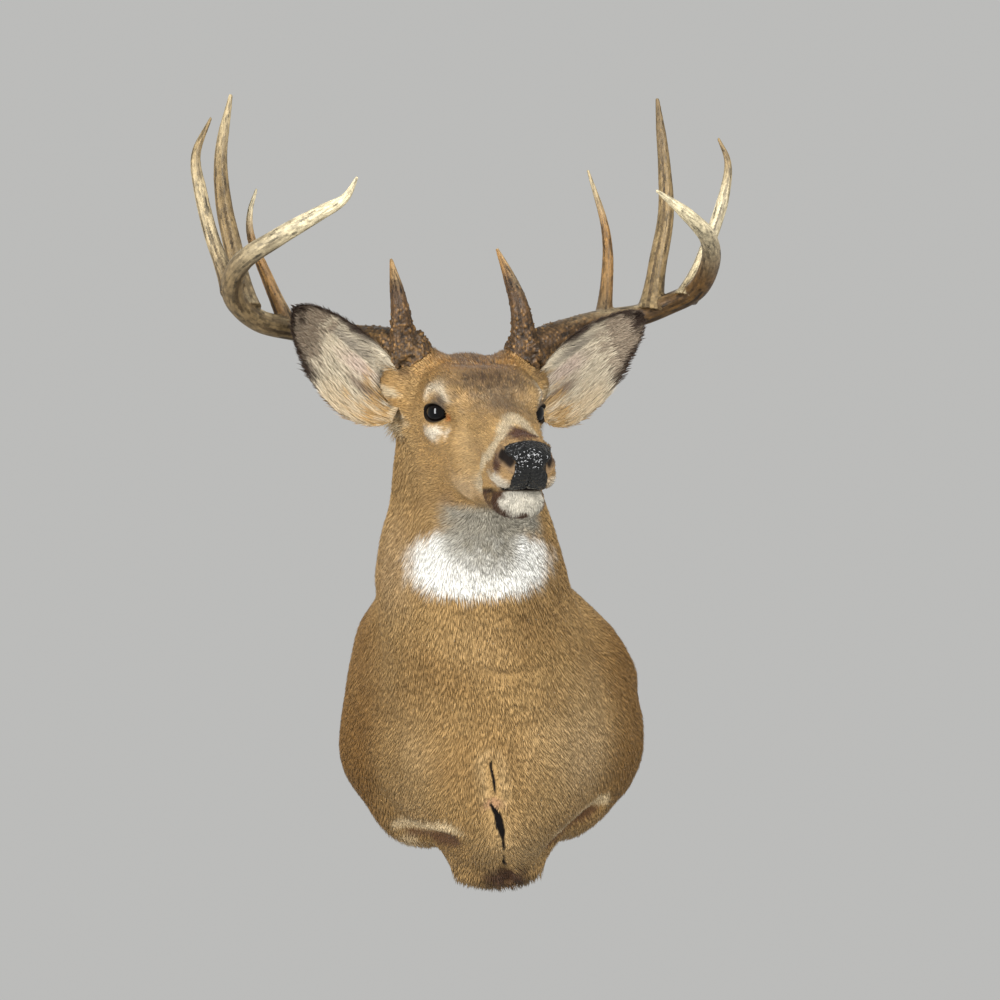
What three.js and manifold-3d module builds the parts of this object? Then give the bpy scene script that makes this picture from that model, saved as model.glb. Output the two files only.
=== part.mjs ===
// Whitetail buck shoulder mount, life size: a ten-point buck with its head turned a little to its
// left, on a plywood back board that hangs flat on a wall.
// Millimetres, +Z up. The wall is the plane Y = 0, the buck looks along -Y, and the origin is the
// middle of the board's rear face.
import * as THREE from "three";
import { MarchingCubes } from "three/addons/objects/MarchingCubes.js";
import { mergeVertices } from "three/addons/utils/BufferGeometryUtils.js";
import Module from "manifold-3d";

const wasm = await Module();
wasm.setup();

// ---------------------------------------------------------------- driving dimensions
const GAP = 0.3; // between two pieces that touch
const EAR_GAP = 1; // between an ear and the butt that it grows from
const HEAD_TURN = THREE.MathUtils.degToRad(15); // towards the buck's own left, which is +X
const HEAD_DROP = THREE.MathUtils.degToRad(16); // of the line from the eyes to the nose
const MID_EYES = [-4, 380, 333]; // across, out from the wall, up
const BODY_COAT = 6; // depth of the winter coat on the neck and body
const FACE_COAT = 3; // round the eyes and on the forehead
const MUZZLE_COAT = 1; // at the nose
const BODY_CELL = 26; // spacing of the surface's facets on the body
const HEAD_CELL = 14.5;
const BODY_REACH = 350; // half the side of the cube that holds the body, and the head's
const HEAD_REACH = 180;
const MOST_FACETS = 20000; // room kept for either surface before it is thinned
const SLACK = 0.039; // of a facet's spacing, by which the flat stretches may be thinned
const OVERLAP = 26; // each flesh piece is made this much too long, then cut to its neighbour

const EYE = { radius: 16, at: [48, -5, -1], openingLength: 16, openingHeight: 10.5 };
const EAR = {
  base: [67, -101, -8], // side, forward, up from the middle of the eyes
  tip: [194, -100, 88],
  lower: 57, // greatest width below the line from base to tip
  upper: 27,
  cup: 34, // how far the rims stand forward of the middle at the base
  bow: 15, // how far the middle leans back
  thickness: 7,
  aroundSteps: 16,
  alongSteps: 12,
};
const BOARD = { halfWidth: 128, halfHeight: 132, thickness: 18 };
const HANGER = { width: 64, height: 22, thickness: 2, recess: 4, z: 88 };
const HIDE_BACK = 1.5; // the hide's hem stops this far off the wall

// ---------------------------------------------------------------- frames
const side = new THREE.Vector3(Math.cos(HEAD_TURN), Math.sin(HEAD_TURN), 0);
const ahead = new THREE.Vector3(Math.sin(HEAD_TURN), -Math.cos(HEAD_TURN), 0);
const worldUp = new THREE.Vector3(0, 0, 1);
const forward = ahead.clone().multiplyScalar(Math.cos(HEAD_DROP));
forward.addScaledVector(worldUp, -Math.sin(HEAD_DROP));
const up = ahead.clone().multiplyScalar(Math.sin(HEAD_DROP));
up.addScaledVector(worldUp, Math.cos(HEAD_DROP));
const acrossBody = new THREE.Vector3(1, 0, 0);

// A point of the body: across, out from the wall, up.
function bodyPoint([x, out, z]) {
  return new THREE.Vector3(x, -out, z);
}
const midEyes = bodyPoint(MID_EYES);

// A point of the head: to the side, forward along the muzzle and up, from the middle of the eyes.
function headPoint([s, f, u]) {
  return midEyes.clone().addScaledVector(side, s).addScaledVector(forward, f).addScaledVector(up, u);
}

// ---------------------------------------------------------------- masses of the flesh
// Each mass is a limb from one point to another, with half its width and half its height at both
// ends, and the radius over which it blends into those before it. Paired ones come left and right,
// and a blunt one has ends flatter than a ball's.
const MASSES = [
  // place, from, to, half width, half height, blend, paired, bluntness of the ends
  ["body", [0, 0, -40], [2, 150, -40], [160, 116], [116, 106], 0],
  ["body", [-4, -20, 40], [-14, 150, 90], [122, 96], [112, 102], 40], // withers
  ["body", [-8, 150, 20], [-24, 222, 160], [110, 93], [114, 98], 60], // lower neck
  ["body", [-24, 222, 160], [-29, 268, 318], [93, 72], [98, 80], 40], // upper neck
  ["body", [-22, 255, 90], [-14, 322, 238], [76, 46], [64, 44], 50], // throat
  ["body", [-92, 50, 56], [-107, 68, -50], [51, 52], [76, 70], 110], // right shoulder
  ["body", [54, 44, 90], [92, 50, 34], [31, 36], [66, 66], 50], // slope to the left shoulder
  ["body", [89, 50, 24], [104, 68, -46], [50, 52], [70, 70], 110], // left shoulder, set lower
  ["body", [-76, 90, -62], [-80, 100, -117], [46, 43], [50, 40], 40], // right upper foreleg
  ["body", [78, 90, -56], [80, 100, -106], [46, 40], [50, 40], 40], // left upper foreleg
  ["body", [0, 212, 20], [4, 190, -96], [90, 64], [70, 68], 70], // breast
  ["body", [6, 165, -92], [8, 156, -178], [58, 50], [60, 30], 34, "", 0.75], // brisket
  ["head", [0, -92, 0], [0, -12, 4], [46, 49], [36, 31], 26], // cranium
  ["head", [0, -20, 6], [0, 92, -3], [46, 28], [29, 22], 24], // forehead and bridge
  ["head", [0, 84, -9], [0, 158, -9], [30, 27], [25, 22], 20], // muzzle
  ["head", [0, 160, -6], [0, 176, -8], [24, 23], [21, 19], 10, "", 0.75], // nose pad
  ["head", [15, 118, -28], [15, 167, -25], [18, 15], [15, 12], 12, "paired"], // lips
  ["head", [0, -40, -60], [0, 126, -52], [40, 22], [47, 19], 24], // lower jaw
  ["head", [0, 122, -57], [0, 147, -58], [28, 27], [16, 15], 12], // chin
  ["head", [28, -46, -34], [24, 48, -36], [22, 20], [42, 34], 26, "paired"], // cheek
  ["head", [39, -60, 18], [40, 16, 15], [18, 14], [17, 13], 26, "paired"], // brow
  ["head", [44, -46, -16], [34, 40, -18], [15, 14], [17, 15], 22, "paired"], // cheekbone
  ["head", [40, -78, 20], [48, -84, 28], [20, 19], [20, 19], 16, "paired"], // pedicle
  ["head", [48, -100, -10], [72, -104, 6], [27, 18], [31, 23], 40, "paired"], // ear butt
];

function makeLimb([place, from, to, width, height, blend, , blunt = 1], mirrored) {
  const flip = ([x, y, z]) => [mirrored ? -x : x, y, z];
  const point = place === "head" ? headPoint : bodyPoint;
  const start = point(flip(from));
  const axis = point(flip(to)).sub(start);
  const length = axis.length();
  axis.normalize();
  const across = (place === "head" ? side : acrossBody).clone();
  across.addScaledVector(axis, -across.dot(axis)).normalize();
  const over = new THREE.Vector3().crossVectors(axis, across);
  return { start, axis, across, over, length, width, height, blend, blunt };
}
const limbs = MASSES.flatMap((mass) =>
  mass[6] ? [makeLimb(mass, false), makeLimb(mass, true)] : [makeLimb(mass, false)],
);

// Roughly the distance from a point to one limb's surface, less than zero inside.
const offset = new THREE.Vector3();
function limbDistance(p, limb) {
  offset.subVectors(p, limb.start);
  const along = offset.dot(limb.axis);
  const share = THREE.MathUtils.clamp(along / limb.length, 0, 1);
  const w = THREE.MathUtils.lerp(...limb.width, share);
  const h = THREE.MathUtils.lerp(...limb.height, share);
  const e = Math.min(w, h) * limb.blunt;
  const x = offset.dot(limb.across);
  const y = offset.dot(limb.over);
  const z = along - share * limb.length;
  const k0 = Math.hypot(x / w, y / h, z / e);
  const k1 = Math.hypot(x / w ** 2, y / h ** 2, z / e ** 2);
  return k1 > 1e-9 ? (k0 * (k0 - 1)) / k1 : -e;
}

function smoothUnion(a, b, radius) {
  if (radius <= 0) return Math.min(a, b);
  const h = Math.max(radius - Math.abs(a - b), 0) / radius;
  return Math.min(a, b) - (h * h * radius) / 4;
}

function fleshDistance(p) {
  return limbs.reduce((d, limb) => smoothUnion(d, limbDistance(p, limb), limb.blend), 1e9);
}

// How far the tips of the coat stand off the skin.
function coatDepth(p) {
  offset.subVectors(p, midEyes);
  const toNose = THREE.MathUtils.smoothstep(offset.dot(forward), 20, 160);
  const toNeck = THREE.MathUtils.smoothstep(-offset.dot(forward) - offset.dot(up) * 0.4, 20, 90);
  return FACE_COAT + (MUZZLE_COAT - FACE_COAT) * toNose + (BODY_COAT - FACE_COAT) * toNeck;
}
const outline = (p) => fleshDistance(p) - coatDepth(p);

// ---------------------------------------------------------------- solids
function solidOf(geometry) {
  const bare = geometry.index ? geometry.toNonIndexed() : geometry.clone();
  for (const name of ["normal", "uv"]) if (bare.getAttribute(name)) bare.deleteAttribute(name);
  const merged = mergeVertices(bare, 1e-3);
  return new wasm.Manifold(
    new wasm.Mesh({
      numProp: 3,
      vertProperties: merged.attributes.position.array,
      triVerts: new Uint32Array(merged.index.array),
    }),
  );
}

function geometryOf(solid) {
  const { vertProperties, triVerts } = solid.getMesh();
  const geometry = new THREE.BufferGeometry();
  geometry.setAttribute("position", new THREE.BufferAttribute(vertProperties, 3));
  geometry.setIndex(new THREE.BufferAttribute(triVerts, 1));
  return geometry;
}

// A mirrored shape has its faces turned the other way, so that they point out again.
function turnedOut(geometry) {
  const index = geometry.index.array;
  for (let i = 0; i < index.length; i += 3) {
    [index[i + 1], index[i + 2]] = [index[i + 2], index[i + 1]];
  }
  return geometry;
}

// The largest body of a solid, without the crumbs that a cut can leave.
function mainBody(solid) {
  return solid.decompose().sort((a, b) => b.volume() - a.volume())[0];
}

// What lies on one side of a plane: in front of the point, along the normal, with a gap kept.
function infront(solid, normal, point, gap = GAP / 2) {
  return solid.trimByPlane(normal.toArray(), normal.dot(point) + gap);
}
function behind(solid, normal, point, gap = GAP / 2) {
  const back = normal.clone().negate();
  return solid.trimByPlane(back.toArray(), back.dot(point) + gap);
}

// The surface where a distance function is zero, in a cube about a centre.
function surface(distance, centre, halfSize, cell) {
  const steps = Math.ceil((2 * halfSize) / cell) + 4;
  const plain = new THREE.MeshStandardMaterial();
  const cubes = new MarchingCubes(steps, plain, false, false, MOST_FACETS);
  const p = new THREE.Vector3();
  const scale = (cell * steps) / 2;
  const place = (i) => ((i - steps / 2) / (steps / 2)) * scale;
  cubes.isolation = 0;
  for (let z = 0; z < steps; z++)
    for (let y = 0; y < steps; y++)
      for (let x = 0; x < steps; x++) {
        p.set(place(x), place(y), place(z)).add(centre);
        cubes.field[x + y * steps + z * steps * steps] = -distance(p);
      }
  cubes.update();
  const corners = cubes.geometry.getAttribute("position").array.slice(0, cubes.count * 3);
  const geometry = new THREE.BufferGeometry();
  geometry.setAttribute("position", new THREE.BufferAttribute(corners, 3));
  geometry.scale(scale, scale, scale);
  geometry.translate(...centre.toArray());
  const thinned = solidOf(settle(mergeVertices(geometry, 1e-2), distance)).simplify(cell * SLACK);
  return solidOf(geometryOf(thinned)); // made again, it keeps no slack for the cuts that follow
}

// Moves each vertex on to the surface itself, down the slope of the distance.
function settle(geometry, distance) {
  const at = geometry.getAttribute("position");
  const p = new THREE.Vector3();
  const q = new THREE.Vector3();
  const step = 0.5;
  for (let i = 0; i < at.count; i++) {
    p.fromBufferAttribute(at, i);
    for (let pass = 0; pass < 2; pass++) {
      const d = distance(p);
      const slope = [acrossBody, new THREE.Vector3(0, 1, 0), worldUp].map(
        (axis) => (distance(q.copy(p).addScaledVector(axis, step)) - d) / step,
      );
      const steepness = Math.max(slope[0] ** 2 + slope[1] ** 2 + slope[2] ** 2, 0.25);
      p.addScaledVector(q.fromArray(slope), -d / steepness);
    }
    at.setXYZ(i, p.x, p.y, p.z);
  }
  return geometry;
}

// ---------------------------------------------------------------- antlers
// The main beam and its tines, in head coordinates, from the burr out to each tip.
const ANTLERS = {
  right: {
    out: -1,
    beam: [
      [56, -84, 32], [63, -90, 41], [90, -111, 48], [135, -137, 49], [181, -146, 54],
      [225, -133, 66], [258, -106, 98], [259, -66, 140], [226, -25, 178], [191, 3, 208],
      [169, 16, 226], [158, 20, 249],
    ],
    brow: [[72, -92, 48], [81, -90, 95], [87, -118, 140]],
    second: [[190, -146, 58], [210, -170, 103], [228, -190, 148], [228, -201, 172], [220, -212, 196]],
    third: [[240, -124, 80], [251, -159, 137], [260, -182, 182], [262, -205, 232], [250, -230, 295]],
    fourth: [[260, -98, 106], [278, -132, 152], [290, -157, 201], [294, -172, 236], [277, -188, 275]],
  },
  left: {
    out: 1,
    beam: [
      [56, -84, 32], [63, -91, 43], [108, -113, 60], [161, -140, 70], [211, -152, 76],
      [239, -141, 91], [260, -111, 114], [259, -70, 153], [239, -28, 187], [211, 2, 210],
      [187, 16, 227], [159, 21, 245],
    ],
    brow: [[62, -88, 50], [52, -90, 97], [43, -107, 125], [31, -122, 153]],
    second: [[165, -142, 70], [174, -169, 112], [177, -185, 143], [174, -198, 172], [157, -221, 227]],
    third: [[222, -148, 82], [230, -164, 128], [243, -188, 184], [243, -207, 233], [236, -234, 309]],
    fourth: [[252, -120, 102], [273, -139, 140], [303, -168, 212], [308, -181, 248], [297, -189, 273]],
  },
};
const BEAM_RADII = [19, 18, 14.5, 13, 12.5, 12, 11.5, 11, 10, 9, 7, 1.6];
const BURR = { radius: 26, at: 0.035, length: 0.016 }; // the knobbly ring round the beam's foot
const TINE_RADII = {
  brow: [14, 11, 7.5, 1.8],
  second: [9, 7.5, 6.5, 5, 3.5, 1.6],
  third: [12.5, 10.5, 10, 9, 7.5, 5.8, 2.2],
  fourth: [11, 8, 7.5, 7, 4.8, 1.6],
};
const BEAM_STEPS = 30;
const TINE_STEPS = 6;
const SIDES = 8;

// The value of a list of sizes spread evenly along something, at a share of its length.
function along(sizes, share) {
  const at = THREE.MathUtils.clamp(share, 0, 1) * (sizes.length - 1);
  const i = Math.min(Math.floor(at), sizes.length - 2);
  return THREE.MathUtils.lerp(sizes[i], sizes[i + 1], at - i);
}

// A tapering rod along a curve, between two of its steps, with flat ends.
function rod(curve, radiusAt, steps, first = 0, last = steps, grow = 0, gap = 0) {
  const frames = curve.computeFrenetFrames(steps);
  const rings = last - first;
  const geometry = new THREE.CylinderGeometry(1, 1, 1, SIDES, rings);
  const at = geometry.getAttribute("position");
  for (let i = 0; i < at.count; i++) {
    const ring = first + Math.round((0.5 - at.getY(i)) * rings);
    const p = curve.getPointAt(ring / steps);
    const r = radiusAt(ring / steps) + grow;
    p.addScaledVector(frames.normals[ring], at.getX(i) * r);
    p.addScaledVector(frames.binormals[ring], at.getZ(i) * r);
    if (ring === first) p.addScaledVector(frames.tangents[ring], gap / 2 - grow);
    if (ring === last) p.addScaledVector(frames.tangents[ring], grow - gap / 2);
    at.setXYZ(i, p.x, p.y, p.z);
  }
  return solidOf(geometry);
}

function beamRadius(share) {
  const ring = Math.exp(-(((share - BURR.at) / BURR.length) ** 2));
  return THREE.MathUtils.lerp(along(BEAM_RADII, share), BURR.radius, ring);
}

function route(points, out) {
  return new THREE.CatmullRomCurve3(
    points.map(([s, f, u]) => headPoint([s * out, f, u])),
    false,
    "centripetal",
  );
}

// The step of a curve that lies nearest to a point.
function nearestStep(curve, steps, point) {
  let best = 0;
  for (let i = 1; i <= steps; i++)
    if (
      curve.getPointAt(i / steps).distanceTo(point) <
      curve.getPointAt(best / steps).distanceTo(point)
    )
      best = i;
  return best;
}

// One antler: the beam in four lengths, cut at its forks, and four tines.
function antler(name, { out, beam, ...tines }) {
  const curve = route(beam, out);
  const forks = ["second", "third", "fourth"].map((tine) => {
    const [s, f, u] = tines[tine][0];
    return nearestStep(curve, BEAM_STEPS, headPoint([s * out, f, u]));
  });
  const stops = [0, ...forks, BEAM_STEPS];
  const pieces = stops.slice(1).map((stop, i) => [
    `beam_${name}_${i + 1}`,
    rod(curve, beamRadius, BEAM_STEPS, stops[i], stop, 0, GAP),
  ]);
  const cutter = rod(curve, beamRadius, BEAM_STEPS, 0, BEAM_STEPS, GAP);
  for (const [tine, points] of Object.entries(tines)) {
    const radiusAt = (share) => along(TINE_RADII[tine], share);
    const whole = rod(route(points, out), radiusAt, TINE_STEPS);
    pieces.push([`${tine}_tine_${name}`, mainBody(whole.subtract(cutter))]);
  }
  return { pieces, cutter };
}

// ---------------------------------------------------------------- ears
// A cupped leaf: a closed shell whose section runs round the front and back of the ear.
function ear(out) {
  const base = headPoint([EAR.base[0] * out, EAR.base[1], EAR.base[2]]);
  const tip = headPoint([EAR.tip[0] * out, EAR.tip[1], EAR.tip[2]]);
  const axis = tip.clone().sub(base);
  const facing = forward.clone();
  facing.addScaledVector(axis, -facing.dot(axis) / axis.lengthSq()).normalize();
  const wide = new THREE.Vector3().crossVectors(facing, axis).normalize();
  if (wide.z < 0) wide.negate(); // towards the upper rim
  const { aroundSteps, alongSteps } = EAR;
  const geometry = new THREE.CylinderGeometry(1, 1, 1, aroundSteps, alongSteps);
  const at = geometry.getAttribute("position");
  for (let i = 0; i < at.count; i++) {
    const share = 0.5 - at.getY(i);
    const v = THREE.MathUtils.lerp(0.02, 0.995, share);
    const reach = Math.hypot(at.getX(i), at.getZ(i));
    const a = at.getX(i); // -1 on the lower rim, 1 on the upper one
    const lower = EAR.lower * Math.sin(Math.PI * v ** 0.608) ** 0.6;
    const upper = EAR.upper * Math.sin(Math.PI * v) ** 0.45;
    const cup = EAR.cup * (1 - 0.78 * v) * a * a;
    const bow = -EAR.bow * Math.sin(Math.PI * v);
    const half = (EAR.thickness / 2) * (0.35 + 0.65 * Math.sin(Math.PI * v) ** 0.5);
    const p = base.clone().addScaledVector(axis, v);
    p.addScaledVector(wide, a * (a > 0 ? upper : lower));
    p.addScaledVector(facing, (cup + bow) * Math.min(reach, 1) + at.getZ(i) * half);
    at.setXYZ(i, p.x, p.y, p.z);
  }
  return solidOf(out > 0 ? geometry : turnedOut(geometry));
}

// ---------------------------------------------------------------- eyes
function eyeCentre(out) {
  return headPoint([EYE.at[0] * out, EYE.at[1], EYE.at[2]]);
}
function ball(radius, centre) {
  return solidOf(new THREE.IcosahedronGeometry(radius, 2).translate(...centre.toArray()));
}
// The gap between the lids, a lens that looks out to the side and forward.
function lidOpening(out) {
  const look = side.clone().multiplyScalar(out * 0.8).addScaledVector(forward, 0.62).normalize();
  const over = up.clone().addScaledVector(look, -up.dot(look)).normalize();
  const length = new THREE.Vector3().crossVectors(over, look);
  const turn = new THREE.Matrix4().makeBasis(length, over, look);
  turn.setPosition(eyeCentre(out).addScaledVector(look, EYE.radius + 1));
  const lens = new THREE.IcosahedronGeometry(1, 2);
  lens.scale(EYE.openingLength, EYE.openingHeight, EYE.radius * 0.9);
  return solidOf(lens.applyMatrix4(turn));
}

// ---------------------------------------------------------------- board and hanger
function plate(shape, thickness, rear) {
  const geometry = new THREE.ExtrudeGeometry(shape, {
    depth: thickness,
    bevelEnabled: false,
    curveSegments: 10,
  });
  geometry.rotateX(Math.PI / 2); // its outline now lies in the plane of the wall
  geometry.translate(0, -rear, 0);
  return solidOf(geometry);
}
// A shield with round shoulders and a narrower foot.
function boardShape(grow) {
  const w = BOARD.halfWidth + grow;
  const h = BOARD.halfHeight + grow;
  const shape = new THREE.Shape();
  shape.moveTo(0, -h);
  shape.bezierCurveTo(w * 0.62, -h, w, -h * 0.72, w, -h * 0.2);
  shape.bezierCurveTo(w, h * 0.45, w * 0.6, h, 0, h);
  shape.bezierCurveTo(-w * 0.6, h, -w, h * 0.45, -w, -h * 0.2);
  shape.bezierCurveTo(-w, -h * 0.72, -w * 0.62, -h, 0, -h);
  return shape;
}
function hangerShape(grow) {
  const w = HANGER.width / 2 + grow;
  const h = HANGER.height / 2 + grow;
  const shape = new THREE.Shape();
  shape.moveTo(-w, HANGER.z - h);
  shape.lineTo(w, HANGER.z - h);
  shape.lineTo(w, HANGER.z + h);
  shape.lineTo(-w, HANGER.z + h);
  return shape;
}

// ---------------------------------------------------------------- the flesh, cut into its parts
const neckNormal = forward.clone().multiplyScalar(0.78).addScaledVector(up, 0.62).normalize();
const neckCut = headPoint([0, -20, -105]); // from the throat latch up to the poll
const shoulderNormal = new THREE.Vector3(0, -0.35, 0.94).normalize();
const shoulderCut = bodyPoint([0, 150, 84]);
const muzzleCut = headPoint([0, 66, 0]);
const mouthFront = headPoint([0, 178, -37]);
const mouthCorner = headPoint([0, 112, -55]);
const alongMouth = mouthFront.clone().sub(mouthCorner).normalize();
const mouthNormal = new THREE.Vector3().crossVectors(side, alongMouth).normalize();
if (mouthNormal.z < 0) mouthNormal.negate();
const noseCut = headPoint([0, 163, -3]);

const headSide = (p) => neckNormal.dot(offset.subVectors(p, neckCut)) - OVERLAP;
const wallSide = (p) => p.y - OVERLAP;
const bodyCentre = bodyPoint([0, 190, 100]);
const headCentre = headPoint([0, 30, -10]);
const headShape = (grow) => (p) => Math.max(outline(p) - grow, -headSide(p) - 2 * OVERLAP - grow);
const headSolid = surface(headShape(0), headCentre, HEAD_REACH, HEAD_CELL);
const bodyShape = (grow) => (p) => Math.max(outline(p) - grow, headSide(p), wallSide(p));
const bodySolid = surface(bodyShape(0), bodyCentre, BODY_REACH, BODY_CELL);
const earLimit = surface(headShape(EAR_GAP), headCentre, HEAD_REACH, HEAD_CELL).add(
  surface(bodyShape(EAR_GAP), bodyCentre, BODY_REACH, BODY_CELL),
);

const wall = new THREE.Vector3(0, 1, 0);
const hemPlane = bodyPoint([0, HIDE_BACK, 0]);
const boardPocket = plate(boardShape(GAP), BOARD.thickness + GAP + 1, -1);
let flesh = behind(behind(bodySolid, neckNormal, neckCut), wall, hemPlane, 0);
let neck = infront(flesh, shoulderNormal, shoulderCut).subtract(boardPocket);
flesh = behind(flesh, shoulderNormal, shoulderCut).subtract(boardPocket);

// The stub of each foreleg, sewn shut below its arm pit.
const STUBS = { right: { inner: -50, top: -119, sign: -1 }, left: { inner: 66, top: -108, sign: 1 } };
const stubs = {};
const wholeSpace = 4 * BODY_REACH;
const block = solidOf(new THREE.BoxGeometry(wholeSpace, wholeSpace, wholeSpace));
for (const [name, { inner, top, sign }] of Object.entries(STUBS)) {
  const sideways = new THREE.Vector3(sign, 0, -0.12).normalize();
  const downwards = new THREE.Vector3(sign * 0.1, 0, -1).normalize();
  const corner = bodyPoint([inner, 0, top]);
  const below = (gap) => infront(infront(block, sideways, corner, gap), downwards, corner, gap);
  stubs[name] = mainBody(flesh.intersect(below(GAP / 2)));
  flesh = flesh.subtract(below(-GAP / 2));
}
const trunk = mainBody(flesh);

const antlers = Object.fromEntries(
  Object.entries(ANTLERS).map(([name, description]) => [name, antler(name, description)]),
);
let skull = infront(headSolid, neckNormal, neckCut);
const ears = {};
for (const [name, { out }] of Object.entries(ANTLERS)) {
  skull = skull.subtract(antlers[name].cutter);
  neck = neck.subtract(antlers[name].cutter);
  skull = skull.subtract(ball(EYE.radius + GAP, eyeCentre(out))).subtract(lidOpening(out));
  const outside = ear(out).subtract(earLimit).subtract(antlers[name].cutter);
  ears[name] = mainBody(outside);
}
skull = mainBody(skull);
const jaw = mainBody(behind(skull, mouthNormal, mouthCorner));
const upperHead = infront(skull, mouthNormal, mouthCorner);
const cranium = mainBody(behind(upperHead, forward, muzzleCut));
const muzzle = mainBody(behind(infront(upperHead, forward, muzzleCut), forward, noseCut));
const nose = mainBody(infront(upperHead, forward, noseCut));

const hangerPocket = plate(hangerShape(GAP), HANGER.recess + 1, -1);
const board = plate(boardShape(0), BOARD.thickness, 0).subtract(hangerPocket);
const hanger = plate(hangerShape(0), HANGER.thickness, HANGER.recess - HANGER.thickness - GAP);

// ---------------------------------------------------------------- materials
function finish(color, roughness, metalness = 0) {
  return new THREE.MeshStandardMaterial({ color, roughness, metalness });
}
const hide = finish(0x9a7446, 0.85);
const earHide = finish(0x8d8077, 0.85);
const noseLeather = finish(0x14130f, 0.3);
const glassEye = finish(0x0d0a08, 0.08);
const paleAntler = finish(0xb9a47c, 0.5);
const brownAntler = finish(0x6b4a28, 0.6);
const plywood = finish(0xb98d58, 0.7);
const zincSteel = finish(0xa9abac, 0.4, 0.9);

// ---------------------------------------------------------------- the whole mount
const mount = new THREE.Group();
function addPiece(name, solid, material) {
  // Made again from its rounded corners, a cut piece sheds any flap with no thickness.
  const rounded = mainBody(solidOf(geometryOf(solid.simplify(GAP / 10))));
  const mesh = new THREE.Mesh(geometryOf(rounded), material);
  mesh.name = name;
  mount.add(mesh);
}
addPiece("trunk", trunk, hide);
addPiece("neck", mainBody(neck), hide);
addPiece("cranium", cranium, hide);
addPiece("muzzle", muzzle, hide);
addPiece("lower_jaw", jaw, hide);
addPiece("nose", nose, noseLeather);
addPiece("back_board", board, plywood);
addPiece("hanger_plate", hanger, zincSteel);
for (const [name, { out }] of Object.entries(ANTLERS)) {
  addPiece(`foreleg_stub_${name}`, stubs[name], hide);
  addPiece(`ear_${name}`, ears[name], earHide);
  addPiece(`eye_${name}`, ball(EYE.radius, eyeCentre(out)), glassEye);
  const material = name === "left" ? brownAntler : paleAntler;
  for (const [piece, solid] of antlers[name].pieces) addPiece(piece, solid, material);
}

export default mount;
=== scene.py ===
"""A whitetail buck's shoulder mount: skin, coat, antlers, eyes and board over the CAD solids."""

import math

import bmesh
import bpy
import numpy as np
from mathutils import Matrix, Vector
from mathutils.kdtree import KDTree


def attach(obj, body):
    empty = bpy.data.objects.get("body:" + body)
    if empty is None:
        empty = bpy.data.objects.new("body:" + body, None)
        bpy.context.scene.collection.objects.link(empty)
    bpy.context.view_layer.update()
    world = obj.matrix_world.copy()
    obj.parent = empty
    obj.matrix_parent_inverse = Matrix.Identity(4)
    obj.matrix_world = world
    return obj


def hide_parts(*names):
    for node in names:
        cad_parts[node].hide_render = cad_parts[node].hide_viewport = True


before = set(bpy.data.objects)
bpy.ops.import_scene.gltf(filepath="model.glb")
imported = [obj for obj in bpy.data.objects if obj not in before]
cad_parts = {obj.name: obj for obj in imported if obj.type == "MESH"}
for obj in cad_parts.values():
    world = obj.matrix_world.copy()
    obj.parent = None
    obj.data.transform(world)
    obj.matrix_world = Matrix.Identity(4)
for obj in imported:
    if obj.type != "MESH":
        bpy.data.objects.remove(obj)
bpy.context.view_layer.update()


# Shapes are worked out in millimetres and turned to metres when a mesh is made.
MM = 0.001

# ---------------------------------------------------------------- places on the animal
# The body's frame: x across, y into the wall, z up, from the middle of the board's back face.
# The head's frame: s to the side, f forward to the nose, u up, from midway between the eyes.
HEAD_TURN = math.radians(15)
HEAD_DROP = math.radians(16)
MID_EYES = np.array([-4.0, -380.0, 333.0])
ACROSS = np.array([1.0, 0.0, 0.0])
UPWARD = np.array([0.0, 0.0, 1.0])
INTO_WALL = np.array([0.0, 1.0, 0.0])
SIDE = np.array([math.cos(HEAD_TURN), math.sin(HEAD_TURN), 0.0])
AHEAD = np.array([math.sin(HEAD_TURN), -math.cos(HEAD_TURN), 0.0])
FORWARD = AHEAD * math.cos(HEAD_DROP) - UPWARD * math.sin(HEAD_DROP)
UP = AHEAD * math.sin(HEAD_DROP) + UPWARD * math.cos(HEAD_DROP)

EYE_RADIUS = 16.0
EYE_AT = (48.0, -5.0, -1.0)
LID_THICKNESS = 2.0
OPENING = {"half_length": 16.5, "upper": 9.0, "lower": 7.2}
SOCKET = {"radius": 40, "away": 53, "ahead": 9, "blend": 10}
EAR = {
    "base": (67, -101, -8),
    "tip": (194, -100, 88),
    "lower": 57,
    "upper": 27,
    "cup": 34,
    "bow": 15,
    "thickness": 3.6,
}
HIDE_BACK = 1.5
BOARD = {"half_width": 128, "half_height": 132}


def head_point(s, f, u):
    return MID_EYES + SIDE * s + FORWARD * f + UP * u


def body_point(x, out, z):
    return np.array([x, -out, z], float)


def head_coordinates(points):
    q = points - MID_EYES
    return q @ SIDE, q @ FORWARD, q @ UP


def smooth(low, high, value):
    t = np.clip((value - low) / (high - low), 0, 1)
    return t * t * (3 - 2 * t)


def hump(value, centre, width):
    return np.exp(-(((value - centre) / width) ** 2))


def unit(vectors):
    return vectors / np.maximum(np.linalg.norm(vectors, axis=-1, keepdims=True), 1e-9)


def waver(points, size, seed):
    """A gentle random field from -1 to 1 whose patches are about the size given, in mm."""
    chance = np.random.default_rng(seed)
    total = np.zeros(len(points))
    for _ in range(6):
        direction = unit(chance.normal(size=3)) * chance.uniform(0.7, 1.5)
        total += np.sin(points @ direction * (2 * math.pi / size) + chance.uniform(0, 6.3))
    return total / 3


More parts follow.
